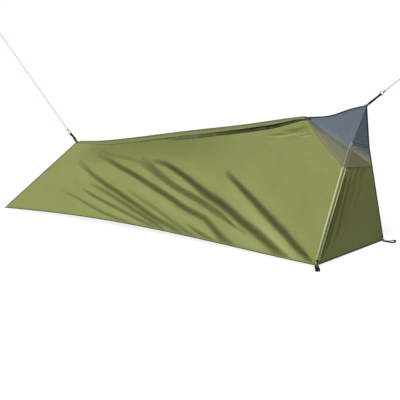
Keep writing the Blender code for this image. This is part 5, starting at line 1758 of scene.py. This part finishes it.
@dataclass
class SeamRolls:
    """The rolled and bound seams that join the sheets."""

    roll: float = TENT.roll
    tape: float = 0.0020
    step: float = 0.0045
    gather: float = 0.0135
    bulge: float = 0.06
    unevenness: float = 0.04
    hinge_share: float = 0.70
    near_seam_start: float = 0.0045
    far_seam_start: float = 0.0055
    mesh_seam_end: float = 0.007

    def along(self, name: str, edge: Edge, start: float, end: float, radius: float,
              facing: Array, finish: Finish = Finish.BINDING, body: str = "shelter",
              slot: str = "seam_cloth", node: str = "{}_binding") -> None:
        """One rolled seam.

        Args:
            name: The piece's name, without "_roll".
            edge: The line that it follows.
            start: How far from the line's start it begins.
            end: How far from the line's end it stops.
            radius: Half its thickness.
            facing: The direction out of the tent there.
            finish: Its finish.
            body: The body it moves with.
            slot: Not used; it is only kept on the piece.
            node: The node it stands for, with {} for its name.
        """
        path = stretch(edge, self.step, start, end)
        t = np.arange(len(path)) * self.step
        swell = 1.0 + self.bulge * np.sin(t * 2 * math.pi / self.gather)
        swell = swell + self.unevenness * np.sin(t * 61)
        piece = Piece(name + "_roll", body, finish, (node.format(name),), slot)
        piece.sweep(path, circle(radius, 10) * (0.9, 1.0), facing, swell=swell)
        piece.make()

    def build(self) -> None:
        """Makes every fixed seam."""
        corner, apex = TENT.corner_seat, TENT.apex_seat
        out = unit(vec(0, -TENT.head_height, TENT.floor_width / 2))
        foot = unit(vec(-TENT.foot_height, 0, TENT.foot_setback))
        for name, edge, facing in (
                ("near_hem", TENT.near_hem, out), ("far_hem", TENT.far_hem, out * (1, -1, 1)),
                ("foot_hem", TENT.foot_hem, foot),
                ("door_sill", line(TENT.near_head, TENT.far_head), vec(1, 0, 0))):
            self.along(name, edge, corner, corner, self.roll, facing)
        for side, start in (("near", TENT.near_foot), ("far", TENT.far_foot)):
            self.along(side + "_foot_edge", line(start, TENT.foot_apex), corner * 1.6, apex,
                       self.roll, unit(vec(-0.6, -0.6 if side == "near" else 0.6, 0.4)))
        far_edge = joined(line(TENT.far_head, TENT.hinge_top), line(TENT.hinge_top, TENT.head_apex),
                          self.hinge_share)
        # The far head edge is finished near-black: painted shade of the shadowed far cloth behind
        # the door's edge.
        self.along("far_head_edge", far_edge, corner * 1.3, apex, self.roll,
                   vec(0.5, 0.8, 0.2), Finish.MESH_SEAM)
        self.along("near_head_edge", line(TENT.zip_top, TENT.head_apex), ZIP.tape_end, apex,
                   self.roll * 0.8, vec(0.6, -0.7, 0.2), Finish.MESH_BINDING, slot="mesh")
        for side, start, gap in (
                ("near", TENT.near_seam, ZIP.piping_place + self.near_seam_start),
                ("far", TENT.far_seam, self.far_seam_start)):
            near = side == "near"
            self.along(side + "_mesh_seam", TENT.side_seam(start), gap * 1.3, self.mesh_seam_end,
                       self.tape * (1.0 if near else 1.6), out * (1, 1 if near else -1, 1),
                       Finish.SIDE_SEAM if near else Finish.MESH_SEAM, node="{}_tape")


@dataclass
class Patches:
    """The gathered patches at the corners and the apexes."""

    corner_height: float = 0.0028
    pleats: int = 12
    pleat_depth: float = 0.07
    open_tip: float = 0.06

    def gathered(self, name: str, node: str, centre: Array, radius: float, height: float,
                 foot: bool, slot: str) -> None:
        """A round patch drawn together in small pleats.

        Args:
            name: The piece's name.
            node: The node it stands for.
            centre: Its middle.
            radius: Half its width.
            height: Half its height.
            foot: Whether it lies at the foot end, where it is bound in the hem's colour.
            slot: Not used; it is only kept on the piece.
        """
        sides, rings = 48, 14
        turn = np.linspace(0, 2 * math.pi, sides, endpoint=False)
        tilt = np.linspace(self.open_tip, math.pi - self.open_tip, rings)
        wave = np.cos(self.pleats * turn[None] + 0.7 * np.sin(3 * tilt[:, None]))
        pleat = 1 - self.pleat_depth * (0.5 + 0.5 * wave)
        reach = np.sin(tilt)[:, None] ** 0.6 * radius * pleat
        points = np.stack([reach * np.cos(turn), reach * np.sin(turn),
                           np.broadcast_to(-np.cos(tilt)[:, None] * height, reach.shape)], axis=2)
        cloth = np.zeros(points.shape)
        cloth[..., 0] = (turn * radius)[None]
        cloth[..., 1] = (tilt / math.pi)[:, None]
        piece = Piece(name, "shelter", Finish.BINDING if foot else Finish.PATCH, (node,), slot)
        piece.add(points + centre, cloth, ring_faces(rings, sides))
        piece.make()

    def build(self) -> None:
        """Makes every patch."""
        for name, place in (("near_foot", TENT.near_foot), ("far_foot", TENT.far_foot),
                            ("near_head", TENT.near_head), ("far_head", TENT.far_head)):
            self.gathered(name + "_patch", name + "_corner_patch", place, TENT.corner_patch,
                          self.corner_height, "foot" in name, "webbing")
        for name, place, radius in (("foot", TENT.foot_apex, TENT.apex_patch),
                                    ("head", TENT.head_apex, 0.8 * TENT.apex_patch)):
            self.gathered(name + "_apex_gather", name + "_apex_patch", place, radius, radius,
                          name == "foot", "seam_cloth")


@dataclass
class Loops:
    """Webbing: the peg loops at the hems, with their bar tacks, and the tabs at the apexes."""

    thickness: float = 0.0016
    peg_width: float = 0.025
    peg_length: float = 0.078
    peg_eye: float = 0.0120
    peg_sewn: float = 0.022
    tab_eye_length: float = 0.030
    near_heading: float = -53.0
    far_shift: float = 0.014
    gap: float = 0.0004
    strand_gap: float = 0.0006
    thread_lift: float = 0.0003
    threads: int = 9
    thread_radius: float = 0.00036
    thread_slant: float = 0.0003
    thread_rise: float = 0.0002
    tack_share: float = 0.8
    peg_tack: float = 0.0045
    peg_tack_past: float = 0.002
    tab_tack: float = 0.0035
    tab_tacks: tuple[float, float] = (0.007, 0.004)
    sharp_over: float = 45.0

    @property
    def stack(self) -> float:
        """How high the bar tacks lie over the lower face of a sewn loop."""
        return 2 * self.thickness + self.strand_gap + self.thread_lift

    def path(self, sewn: float, length: float, eye: float) -> Array:
        """The mid line of a sewn webbing loop seen edge on.

        Args:
            sewn: The length over which its two strands are sewn together.
            length: Its whole length.
            eye: The height of its open end.

        Returns:
            Places ahead of its root and above its lower face.
        """
        lower, bend = self.thickness / 2, (self.strand_gap + self.thickness) / 2
        radius = (eye + self.thickness) / 2
        tip = length - radius - self.thickness / 2
        root = [(lower + bend + bend * math.cos(a), lower + bend + bend * math.sin(a))
                for a in np.radians(np.linspace(90, 270, 7))]
        bottom = [(s, lower) for s in np.linspace(bend + sewn * 0.4, tip * 0.97, 12)]
        end = [(tip + radius * math.cos(a), lower + radius + radius * math.sin(a))
               for a in np.radians(np.linspace(-90, 90, 13))]
        top = [(sewn + (tip - sewn) * t, lower + 2 * bend + float(smooth(t)) * 2 * (radius - bend))
               for t in np.linspace(0.92, 0.06, 12)]
        return np.array(root + bottom + end + top + [(bend + sewn * 0.5, lower + 2 * bend)])

    def ring(self, piece: Piece, path: Array, origin: Array, ahead: Array, above: Array,
             width: float, drawn: tuple[float, float] = (1.0, 1.0)) -> None:
        """Adds a closed loop of webbing to a piece.

        Args:
            piece: The piece to add it to.
            path: The loop seen edge on.
            origin: Its root.
            ahead: The way that it runs from its root.
            above: The way that it opens.
            width: The width of the webbing.
            drawn: Factors on the width at the root and at the open end.
        """
        route = origin + ahead * path[:, :1] + above * path[:, 1:]
        run = np.roll(route, -1, 0) - np.roll(route, 1, 0)
        out = units(np.cross(run, np.cross(above, ahead)))
        share = smooth(path[:, 0] / path[:, 0].max())
        piece.sweep(route, strap(width, self.thickness), out, closed=True, wide=width,
                    widths=drawn[0] + (drawn[1] - drawn[0]) * share)

    def tack(self, piece: Piece, middle: Array, ahead: Array, above: Array, length: float,
             width: float) -> None:
        """Adds a bar tack: a dense row of threads laid to and fro across the webbing.

        Args:
            piece: The piece it is added to.
            middle: Its middle.
            ahead: The way along the webbing.
            above: The way out of its face.
            length: Its length along the webbing.
            width: Its width across.
        """
        side = np.cross(above, ahead)
        for k in range(self.threads):
            slant, rise = ahead * self.thread_slant * (-1) ** k, above * self.thread_rise
            place = middle + ahead * (length * ((k + 0.5) / self.threads - 0.5))
            path = [place + side * width * s + way
                    for s, way in ((-0.5, -slant), (-0.25, rise), (0.25, rise), (0.5, slant))]
            piece.sweep(np.array(path), circle(self.thread_radius, 6), above)

    def peg_loops(self) -> None:
        """The three loops that take the pegs."""
        path = self.path(self.peg_sewn, self.peg_length, self.peg_eye)
        heading = math.radians(self.near_heading)
        near = vec(math.cos(heading), math.sin(heading), 0.0)
        drop = TENT.corner_lift
        pitch = math.asin((drop - self.gap) / (self.peg_length - self.peg_eye / 2 - self.thickness))
        beside = self.far_shift - self.peg_width / 2
        reach = math.sqrt(TENT.corner_patch**2 - beside**2) + self.gap
        up = vec(0, 0, 1)
        for name, start, forward, tilt in (
                ("near_head", TENT.near_head + near * TENT.corner_seat, near, pitch),
                ("far_head", TENT.far_head + vec(reach, -self.far_shift, 0), vec(1, 0, 0), 0.0),
                ("foot", TENT.foot_hem(0.5) - vec(TENT.roll + self.gap, 0, 0), vec(-1, 0, 0), 0.0)):
            ahead = forward * math.cos(tilt) - up * math.sin(tilt)
            above = up * math.cos(tilt) + forward * math.sin(tilt)
            origin = vec(start[0], start[1], drop * (tilt > 0))
            loop = Piece(name + "_webbing_loop", name + "_loop", Finish.WEBBING,
                         (name + "_peg_loop",), "webbing")
            self.ring(loop, path, origin, ahead, above, self.peg_width)
            loop.make(smooth_angle=self.sharp_over)
            tack = Piece(name + "_tack_stitches", name + "_loop", Finish.TACK,
                         (name + "_loop_tack",), "bar_tack")
            place = origin + ahead * (self.peg_sewn / 2 + self.peg_tack_past)
            self.tack(tack, place + above * self.stack, ahead, above, self.peg_tack,
                      self.peg_width * self.tack_share)
            tack.make()

    def guy_tabs(self) -> None:
        """The tabs that carry the guy lines, sewn into the ends of the ridge seam."""
        for guy in GUY_LINES:
            sewn = guy.tab_length - self.tab_eye_length
            tab = Piece(guy.end + "_tab_webbing", "shelter", Finish.WEBBING,
                        (guy.end + "_guy_tab",), "webbing")
            self.ring(tab, self.path(sewn, guy.tab_length, guy.tab_eye), guy.root, guy.ahead,
                      guy.above, guy.tab_width, guy.tab_drawn)
            tab.make(smooth_angle=self.sharp_over)
            tack = Piece(guy.end + "_tab_stitches", "shelter", Finish.TACK, (), "bar_tack")
            for place in (self.tab_tacks[0], sewn - self.tab_tacks[1]):
                self.tack(tack, guy.root + guy.ahead * place + guy.above * self.stack, guy.ahead,
                          guy.above, self.tab_tack, guy.tab_width * self.tack_share)
            tack.make()

    def build(self) -> None:
        """Makes every loop and tab."""
        self.peg_loops()
        self.guy_tabs()


@dataclass
class GuyLine:
    """One taut guy line: bight and knot through the tab's eye, the cord, and its end loop."""

    end: str
    apex: Array
    heading: float
    rise: float
    tab_length: float
    tab_width: float
    tab_drawn: tuple[float, float]
    eye_width: float
    cord_length: float
    diameter: float = 0.0040
    knot_length: float = 0.016
    knot_radius: float = 0.0056
    turns: int = 4
    tab_eye: float = 0.0090
    webbing: float = 0.0016
    webbing_gap: float = 0.0003
    gap: float = 0.0004
    strand_step: float = 0.0022
    bight_spread: float = 0.0106
    bight_length: float = 0.022
    end_loop_length: float = 0.042
    end_loop_spread: float = 0.030

    @property
    def ahead(self) -> Array:
        """The way that the line runs."""
        tilt = math.radians(self.rise)
        return vec(self.heading * math.cos(tilt), 0, math.sin(tilt))

    @property
    def above(self) -> Array:
        """The way that the tab's eye opens."""
        return vec(0, -1, 0)

    @property
    def wide(self) -> Array:
        """Across the tab, in the tent's upright middle plane."""
        tilt = math.radians(self.rise)
        return vec(-self.heading * math.sin(tilt), 0, math.cos(tilt))

    @property
    def root(self) -> Array:
        """Where the tab leaves the ridge."""
        seat = self.ahead * TENT.apex_seat
        return self.apex + seat - self.above * (self.webbing + self.webbing_gap)

    @property
    def knot_start(self) -> Array:
        """Where the knot by the tab begins.

        Returns:
            The point.
        """
        length = self.tab_length - self.webbing - self.gap - self.diameter / 2
        eye = self.root + self.ahead * length
        eye = eye + self.above * (self.webbing + self.tab_eye / 2)
        return eye + self.ahead * self.bight_length

    @property
    def start(self) -> Array:
        """Where the free cord begins."""
        return self.knot_start + self.ahead * (self.knot_length + self.gap)

    def bight(self, straight: float, spread: float, length: float) -> Array:
        """A loop of cord that leaves a knot and comes back to it.

        Args:
            straight: The straight stretch across its far end.
            spread: Its greatest width.
            length: How far it reaches from the knot.

        Returns:
            Places ahead of and beside the knot.
        """
        radius = (spread - straight) / 2
        beside = 0.6 * self.diameter
        turn = np.radians(np.linspace(96, 180, 12))
        half = [(-length + radius + radius * math.cos(a), straight / 2 + radius * math.sin(a))
                for a in turn]
        first = half[0]
        flare = [(first[0] * t, beside + (first[1] - beside) * float(smooth(t)))
                 for t in np.linspace(0.1, 0.9, 9)]
        half = [(self.knot_length * 0.45, beside), (0.0, beside)] + flare + half
        other = [(p[0], -p[1]) for p in reversed(half)]
        return np.array(half + (other if straight > 0 else other[1:]))

    def knotted(self, name: str, node: str, loop: Array,
                origin: Array) -> bpy.types.Object:
        """A knot with its loop of cord.

        Args:
            name: The piece's name.
            node: The node it stands for.
            loop: The points that the loop follows.
            origin: Where the wound part starts.

        Returns:
            The finished knot.
        """
        radius = self.diameter / 2
        piece = Piece(name, "shelter", Finish.CORD, (node,), "guy_cord")
        piece.sweep(loop, circle(radius, 10), self.above)
        t = np.linspace(0, 1, 14 * self.turns + 1)
        turn = 2 * math.pi * self.turns * t
        wrap = self.knot_radius - radius
        body = origin + self.ahead * (radius + (self.knot_length - 2 * radius) * t[:, None])
        body = body + (self.above * np.cos(turn)[:, None]
                       + self.wide * np.sin(turn)[:, None]) * wrap
        tuck = origin + self.ahead * self.knot_length * 0.8
        piece.sweep(np.vstack([body, tuck[None]]), circle(radius, 8), self.ahead)
        core = origin + self.ahead * (self.knot_length * np.linspace(0, 1, 8))[:, None]
        piece.sweep(core, circle(radius * 1.15, 8), self.above)
        return piece.make()

    def build(self) -> None:
        """Makes the line with its knots."""
        held = self.bight(self.eye_width + 2 * self.gap, self.eye_width + self.bight_spread,
                          self.bight_length)
        held = self.knot_start + self.ahead * held[:, :1] + self.wide * held[:, 1:]
        knot = self.knotted(self.end + "_line_knot", self.end + "_guy_knot", held, self.knot_start)
        finish = self.start + self.ahead * self.cord_length
        origin = finish + self.ahead * self.gap
        loop = self.bight(0.0, self.end_loop_spread, self.end_loop_length)
        loop = origin + self.ahead * (self.knot_length - loop[:, :1]) + self.wide * loop[:, 1:]
        last = self.knotted(self.end + "_line_end_loop", self.end + "_guy_end_loop", loop, origin)
        count = int(self.cord_length / self.strand_step)
        path = between(self.start, finish, np.linspace(0, 1, count + 1))
        swell = 1.0 + 0.03 * np.sin(np.arange(count + 1) * 2.1)
        cord = Piece(self.end + "_line", "shelter", Finish.CORD, (self.end + "_guy_line",),
                     "guy_cord")
        cord.sweep(path, circle(self.diameter / 2, 10), self.above, swell=swell)
        made = cord.make()
        route = path[::8] if (count % 8) == 0 else np.vstack([path[::8], path[-1:]])
        (self.start + TO_FRAME).tolist()
        (route + TO_FRAME).tolist()


GUY_LINES = (
    GuyLine("head", TENT.head_apex, 1.0, 39.0, 0.106, 0.012, (1.05, 0.90), 0.0110, 0.200),
    GuyLine("foot", TENT.foot_apex, -1.0, 45.0, 0.062, 0.016, (1.25, 0.62), 0.0105, 0.810))


@dataclass
class Door:
    """The head-end door: cloth below and mesh above, hung on the far head edge."""

    sag: float = 0.012
    hem_radius: float = 0.0025
    sill_gap: float = 0.0012
    hinge_gap: float = 0.0036
    hinge_more: float = 0.0005
    net_more: float = 0.002
    top_gap: float = 0.0004
    cells: tuple[int, int] = (96, 72)
    net_cells: tuple[int, int] = (40, 18)
    zip_foot: float = 0.019
    zip_foot_over: float = 0.034
    hem_start: float = 0.003
    hem_end: float = 0.008
    seam_end: float = 0.0075
    shade: float = 0.36
    shade_from: float = 0.42
    shade_over: float = 0.22

    def folds(self) -> tuple[Crease, ...]:
        """Folds that fan down beside the zip.

        Returns:
            The folds, by places beside the zip and over the floor.
        """
        return (
            Crease(mm(22, 485, 26, 360, 28, 200, 26, 30),
                   0.010, 0.011, 0.46, 0.20, 0.5, 0.7, 1.6, 0.35, 0.20),
            Crease(mm(47, 488, 62, 370, 74, 240, 74, 50),
                   0.013, 0.010, 0.62, 0.30, 0.5, 1.0, 1.8, 0.35, 0.35),
            Crease(mm(86, 490, 112, 390, 138, 270, 158, 100),
                   0.014, 0.008, 0.44, 0.24, 0.5, 1.1, 1.8, 0.4, 0.5),
            Crease(mm(135, 490, 172, 400, 216, 260), 0.014, 0.006, 0.26, 0.14, 0.6, 1.2, 1.8),
            Crease(mm(190, 490, 240, 410, 295, 300), 0.014, 0.004, 0.20, 0.12, 0.6, 1.2, 1.8))

    def build(self) -> None:
        """Makes the door's sheets, hem and seam."""
        near, far = TENT.near_head, TENT.far_head
        sill, seam = line(near, far), line(TENT.near_seam, TENT.far_seam)
        inward = -unit(vec(TENT.head_height, 0, -TENT.head_overhang))
        low = TENT.roll + self.sill_gap
        patch = Patch(sill, seam, line(near, TENT.near_seam), line(far, TENT.far_seam),
                      *self.cells, (low + self.hem_radius, self.hinge_gap + self.hinge_more,
                                    SHEET_MARGIN, SHEET_MARGIN))
        beside = smooth((patch.shares()[1] - self.zip_foot) / self.zip_foot_over)
        beside = beside * (ZIP.piping_place - SHEET_MARGIN) + SHEET_MARGIN
        patch.margins = (*patch.margins[:3], beside)
        flat = patch.bellied(inward, self.sag)
        from_zip = np.linalg.norm(flat - flat[:, :1], axis=2)
        grid, painted_shading = creased(flat, -inward, self.folds(), from_zip, flat[..., 2])
        # Painted shade that darkens the door towards its foot.
        shade = self.shade * smooth((self.shade_from - flat[..., 2]) / self.shade_over)
        painted_shading = shade + (1 - shade) * painted_shading
        piece = Piece("door_fabric", "door", Finish.DOOR_CLOTH, ("door_panel",), "cloth")
        piece.sheet(grid, painted_shading)
        piece.spread()
        sheet_area(flat)

        top = line(TENT.zip_top, TENT.hinge_top)
        patch = Patch(seam, top, line(TENT.near_seam, TENT.zip_top),
                      line(TENT.far_seam, TENT.hinge_top), *self.net_cells,
                      (SHEET_MARGIN, self.hinge_gap + self.net_more, self.top_gap,
                       ZIP.tape_end))
        mesh = patch.points()
        piece = Piece("door_net", "door", Finish.DOOR_MESH, ("door_mesh_panel",), "mesh")
        piece.sheet(mesh)
        piece.spread()
        sheet_area(mesh)

        rolls = SeamRolls()
        start = self.hem_start + ZIP.piping_place
        rolls.along("door_hem", through(flat[0]), start, self.hem_end, self.hem_radius,
                    vec(1, 0, 0), body="door")
        rolls.along("door_seam", seam, start, self.seam_end, rolls.tape, vec(1, 0, 0),
                    body="door", node="door_mesh_seam_tape")


@dataclass
class ZipParts:
    """The tapes, coils and pipings of the zip, and the finishes of its slider, pull and stop."""

    tooth: float = 0.0020
    tooth_share: float = 0.62
    core_share: float = 0.72
    piping_share: float = 1.3
    tape_step: float = 0.006
    piping_step: float = 0.004
    tooth_sharp_over: float = 40.0
    tape_sharp_over: float = 60.0

    def half(self, prefix: str, body: str, side: Array, sideways: Array) -> None:
        """One half of the zip.

        Args:
            prefix: "side" or "door".
            body: The body that it moves with.
            side: From the corner into its panel.
            sideways: From the middle of the zip to it.
        """
        end = ZIP.length - ZIP.seam_gap
        coil_end = end - ZIP.stop_length - ZIP.seam_gap
        teeth = Piece(prefix + "_zip_teeth", body, Finish.COIL, (prefix + "_zip_coil",), "zip_coil")
        wide, beside = 2 * ZIP.coil_radius, sideways * ZIP.coil_offset
        for place in np.arange(ZIP.bottom_gap + self.tooth / 2, coil_end, self.tooth):
            teeth.block(ZIP.centre(place) + beside, (sideways, ZIP.outward, ZIP.run),
                        (wide, wide, self.tooth * self.tooth_share))
        core = ZIP.centre(np.linspace(ZIP.bottom_gap, coil_end, 12)) + beside
        teeth.sweep(core, circle(ZIP.coil_radius * self.core_share, 8), ZIP.outward)
        teeth.make(smooth_angle=self.tooth_sharp_over)

        tape = Piece(prefix + "_zip_band", body, Finish.ZIP_TAPE, (prefix + "_zip_tape",),
                     "seam_cloth")
        places = np.arange(ZIP.bottom_gap, end, self.tape_step)
        start = ZIP.coil_offset + ZIP.coil_radius + ZIP.seam_gap
        edge = TENT.near_head + np.outer(places, ZIP.run) + side * ZIP.tape_end
        rows = [ZIP.centre(places) + sideways * s
                for s in np.linspace(start, ZIP.tape_bend, 3)]
        rows += [rows[-1] + (edge - rows[-1]) * t for t in (0.33, 0.66, 1.0)]
        tape.sheet(np.array(rows))
        tape.make(solid=False, smooth_angle=self.tape_sharp_over)

        top = distance(TENT.near_seam, TENT.near_head) - 2 * ZIP.piping_radius
        places = np.arange(ZIP.bottom_gap, top, self.piping_step)
        path = TENT.near_head + np.outer(places, ZIP.run) + side * ZIP.piping_place
        swell = 1 + 0.05 * np.sin(places * 190) + 0.03 * np.sin(places * 77)
        finish = Finish.DOOR_PIPING if body == "door" else Finish.PIPING
        cord = Piece(prefix + "_zip_edge", body, finish, (prefix + "_zip_piping",), "piping")
        cord.sweep(path, circle(ZIP.piping_radius * self.piping_share, 12), ZIP.outward,
                   swell=swell)
        cord.make()

    def build(self) -> None:
        """Makes both halves and finishes the metal."""
        self.half("side", "shelter", ZIP.into_side, ZIP.sideways)
        self.half("door", "door", ZIP.into_door, -ZIP.sideways)
        for node, finish in (("zip_slider", Finish.METAL), ("zip_top_stop", Finish.METAL),
                             ("zip_pull", Finish.PULL)):
            finish.on(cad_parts[node])
            LOG.info("%s: new finish", node)


@dataclass
class Studio:
    """The camera at the photograph's angle, a soft lamp and a plain pale floor."""

    sensor: float = 36.0
    focal: float = 144.0
    clip_end: float = 100.0
    azimuth: float = 36.56
    elevation: float = 12.55
    distance: float = 9.286
    target: tuple[float, float, float] = (0.04747, 0.03449, 0.3)
    shift: tuple[float, float] = (-0.0012, -0.0607)
    key: float = 2.9
    key_way: tuple[float, float, float] = (-0.20, 0.62, -0.76)
    key_spread: float = 14.0
    sky: float = 0.16
    floor_reach: float = 14.0
    floor_drop: float = 0.0006
    floor_grey: float = 0.40
    floor_glow: float = 0.866
    floor_faint: float = 0.165
    floor_roughness: float = 0.9

    def camera(self) -> None:
        """Sets up the camera."""
        a, e = math.radians(self.azimuth), math.radians(self.elevation)
        back = Vector((math.sin(a) * math.cos(e), -math.cos(a) * math.cos(e), math.sin(e)))
        lens = bpy.data.cameras.new("view")
        lens.sensor_width = self.sensor
        lens.lens = self.focal
        lens.shift_x, lens.shift_y = self.shift
        lens.clip_end = self.clip_end
        camera = self.aimed("view", lens, -back)
        camera.location = Vector(self.target) + back * self.distance
        bpy.context.scene.camera = camera

    def aimed(self, name: str, data: bpy.types.ID, way: Sequence[float]) -> bpy.types.Object:
        """Puts in a new camera or lamp.

        Args:
            name: Its name.
            data: The camera or lamp.
            way: The way it looks.

        Returns:
            The new object.
        """
        made = placed(name, data)
        made.rotation_mode = "QUATERNION"
        made.rotation_quaternion = Vector(way).to_track_quat("-Z", "Y")
        return made

    def lamp(self, name: str, strength: float, towards: Sequence[float], spread: float) -> None:
        """Adds a distant soft lamp.

        Args:
            name: Its name.
            strength: Its strength.
            towards: The way it shines.
            spread: Its softness in degrees.
        """
        light = bpy.data.lights.new(name, "SUN")
        light.energy = strength
        light.angle = math.radians(spread)
        self.aimed(name, light, towards)

    def world(self) -> None:
        """A plain grey sky that shows white."""
        paint = SkyPaint("studio")
        dim, full = (paint.node("ShaderNodeBackground", {}, {"Color": grey_of(1.0), "Strength": k})
                     for k in (self.sky, 1.0))
        mix = paint.node("ShaderNodeMixShader", {}, {0: paint.seen(), 1: dim, 2: full})
        paint.plug(mix, paint.surface)

    def floor(self) -> None:
        """A pale floor that shows near white and keeps the tent's shadow."""
        far, low = self.floor_reach, -self.floor_drop
        mesh = bpy.data.meshes.new("studio_floor")
        mesh.from_pydata([(-far, -far, low), (far, -far, low), (far, far, low), (-far, far, low)],
                         [], [(0, 1, 2, 3)])
        paint = Paint("studio_floor")
        paint.feed(base_color=grey_of(self.floor_grey), roughness=self.floor_roughness,
                   specular_ior_level=0.0)
        glow = paint.node("ShaderNodeEmission", {},
                          {"Color": grey_of(1.0), "Strength": self.floor_glow})
        faint = paint.node("ShaderNodeBsdfDiffuse", {}, {"Color": grey_of(self.floor_faint)})
        both = paint.node("ShaderNodeAddShader", {}, {0: glow, 1: faint})
        mix = paint.node("ShaderNodeMixShader", {},
                         {0: paint.seen(), 1: Value(paint, paint.shader.outputs[0]), 2: both})
        paint.plug(mix, paint.surface)
        mesh.materials.append(paint.material)
        placed("studio_floor", mesh)

    def build(self) -> None:
        """Makes the studio."""
        self.camera()
        self.world()
        self.floor()
        self.lamp("key_lamp", self.key, self.key_way, self.key_spread)
        bpy.context.scene.view_settings.view_transform = "Standard"


def main() -> None:
    """Builds every part of the looks in order."""
    logging.basicConfig(level=logging.INFO, format="%(name)s %(message)s")
    Studio().build()
    for part in (*GUY_LINES, Groundsheet(), Canopy(), MeshPeak(), RidgeTrim(), SeamRolls(),
                 Patches(), Loops(), Door(), ZipParts()):
        part.build()


if __name__ == "__main__":
    main()
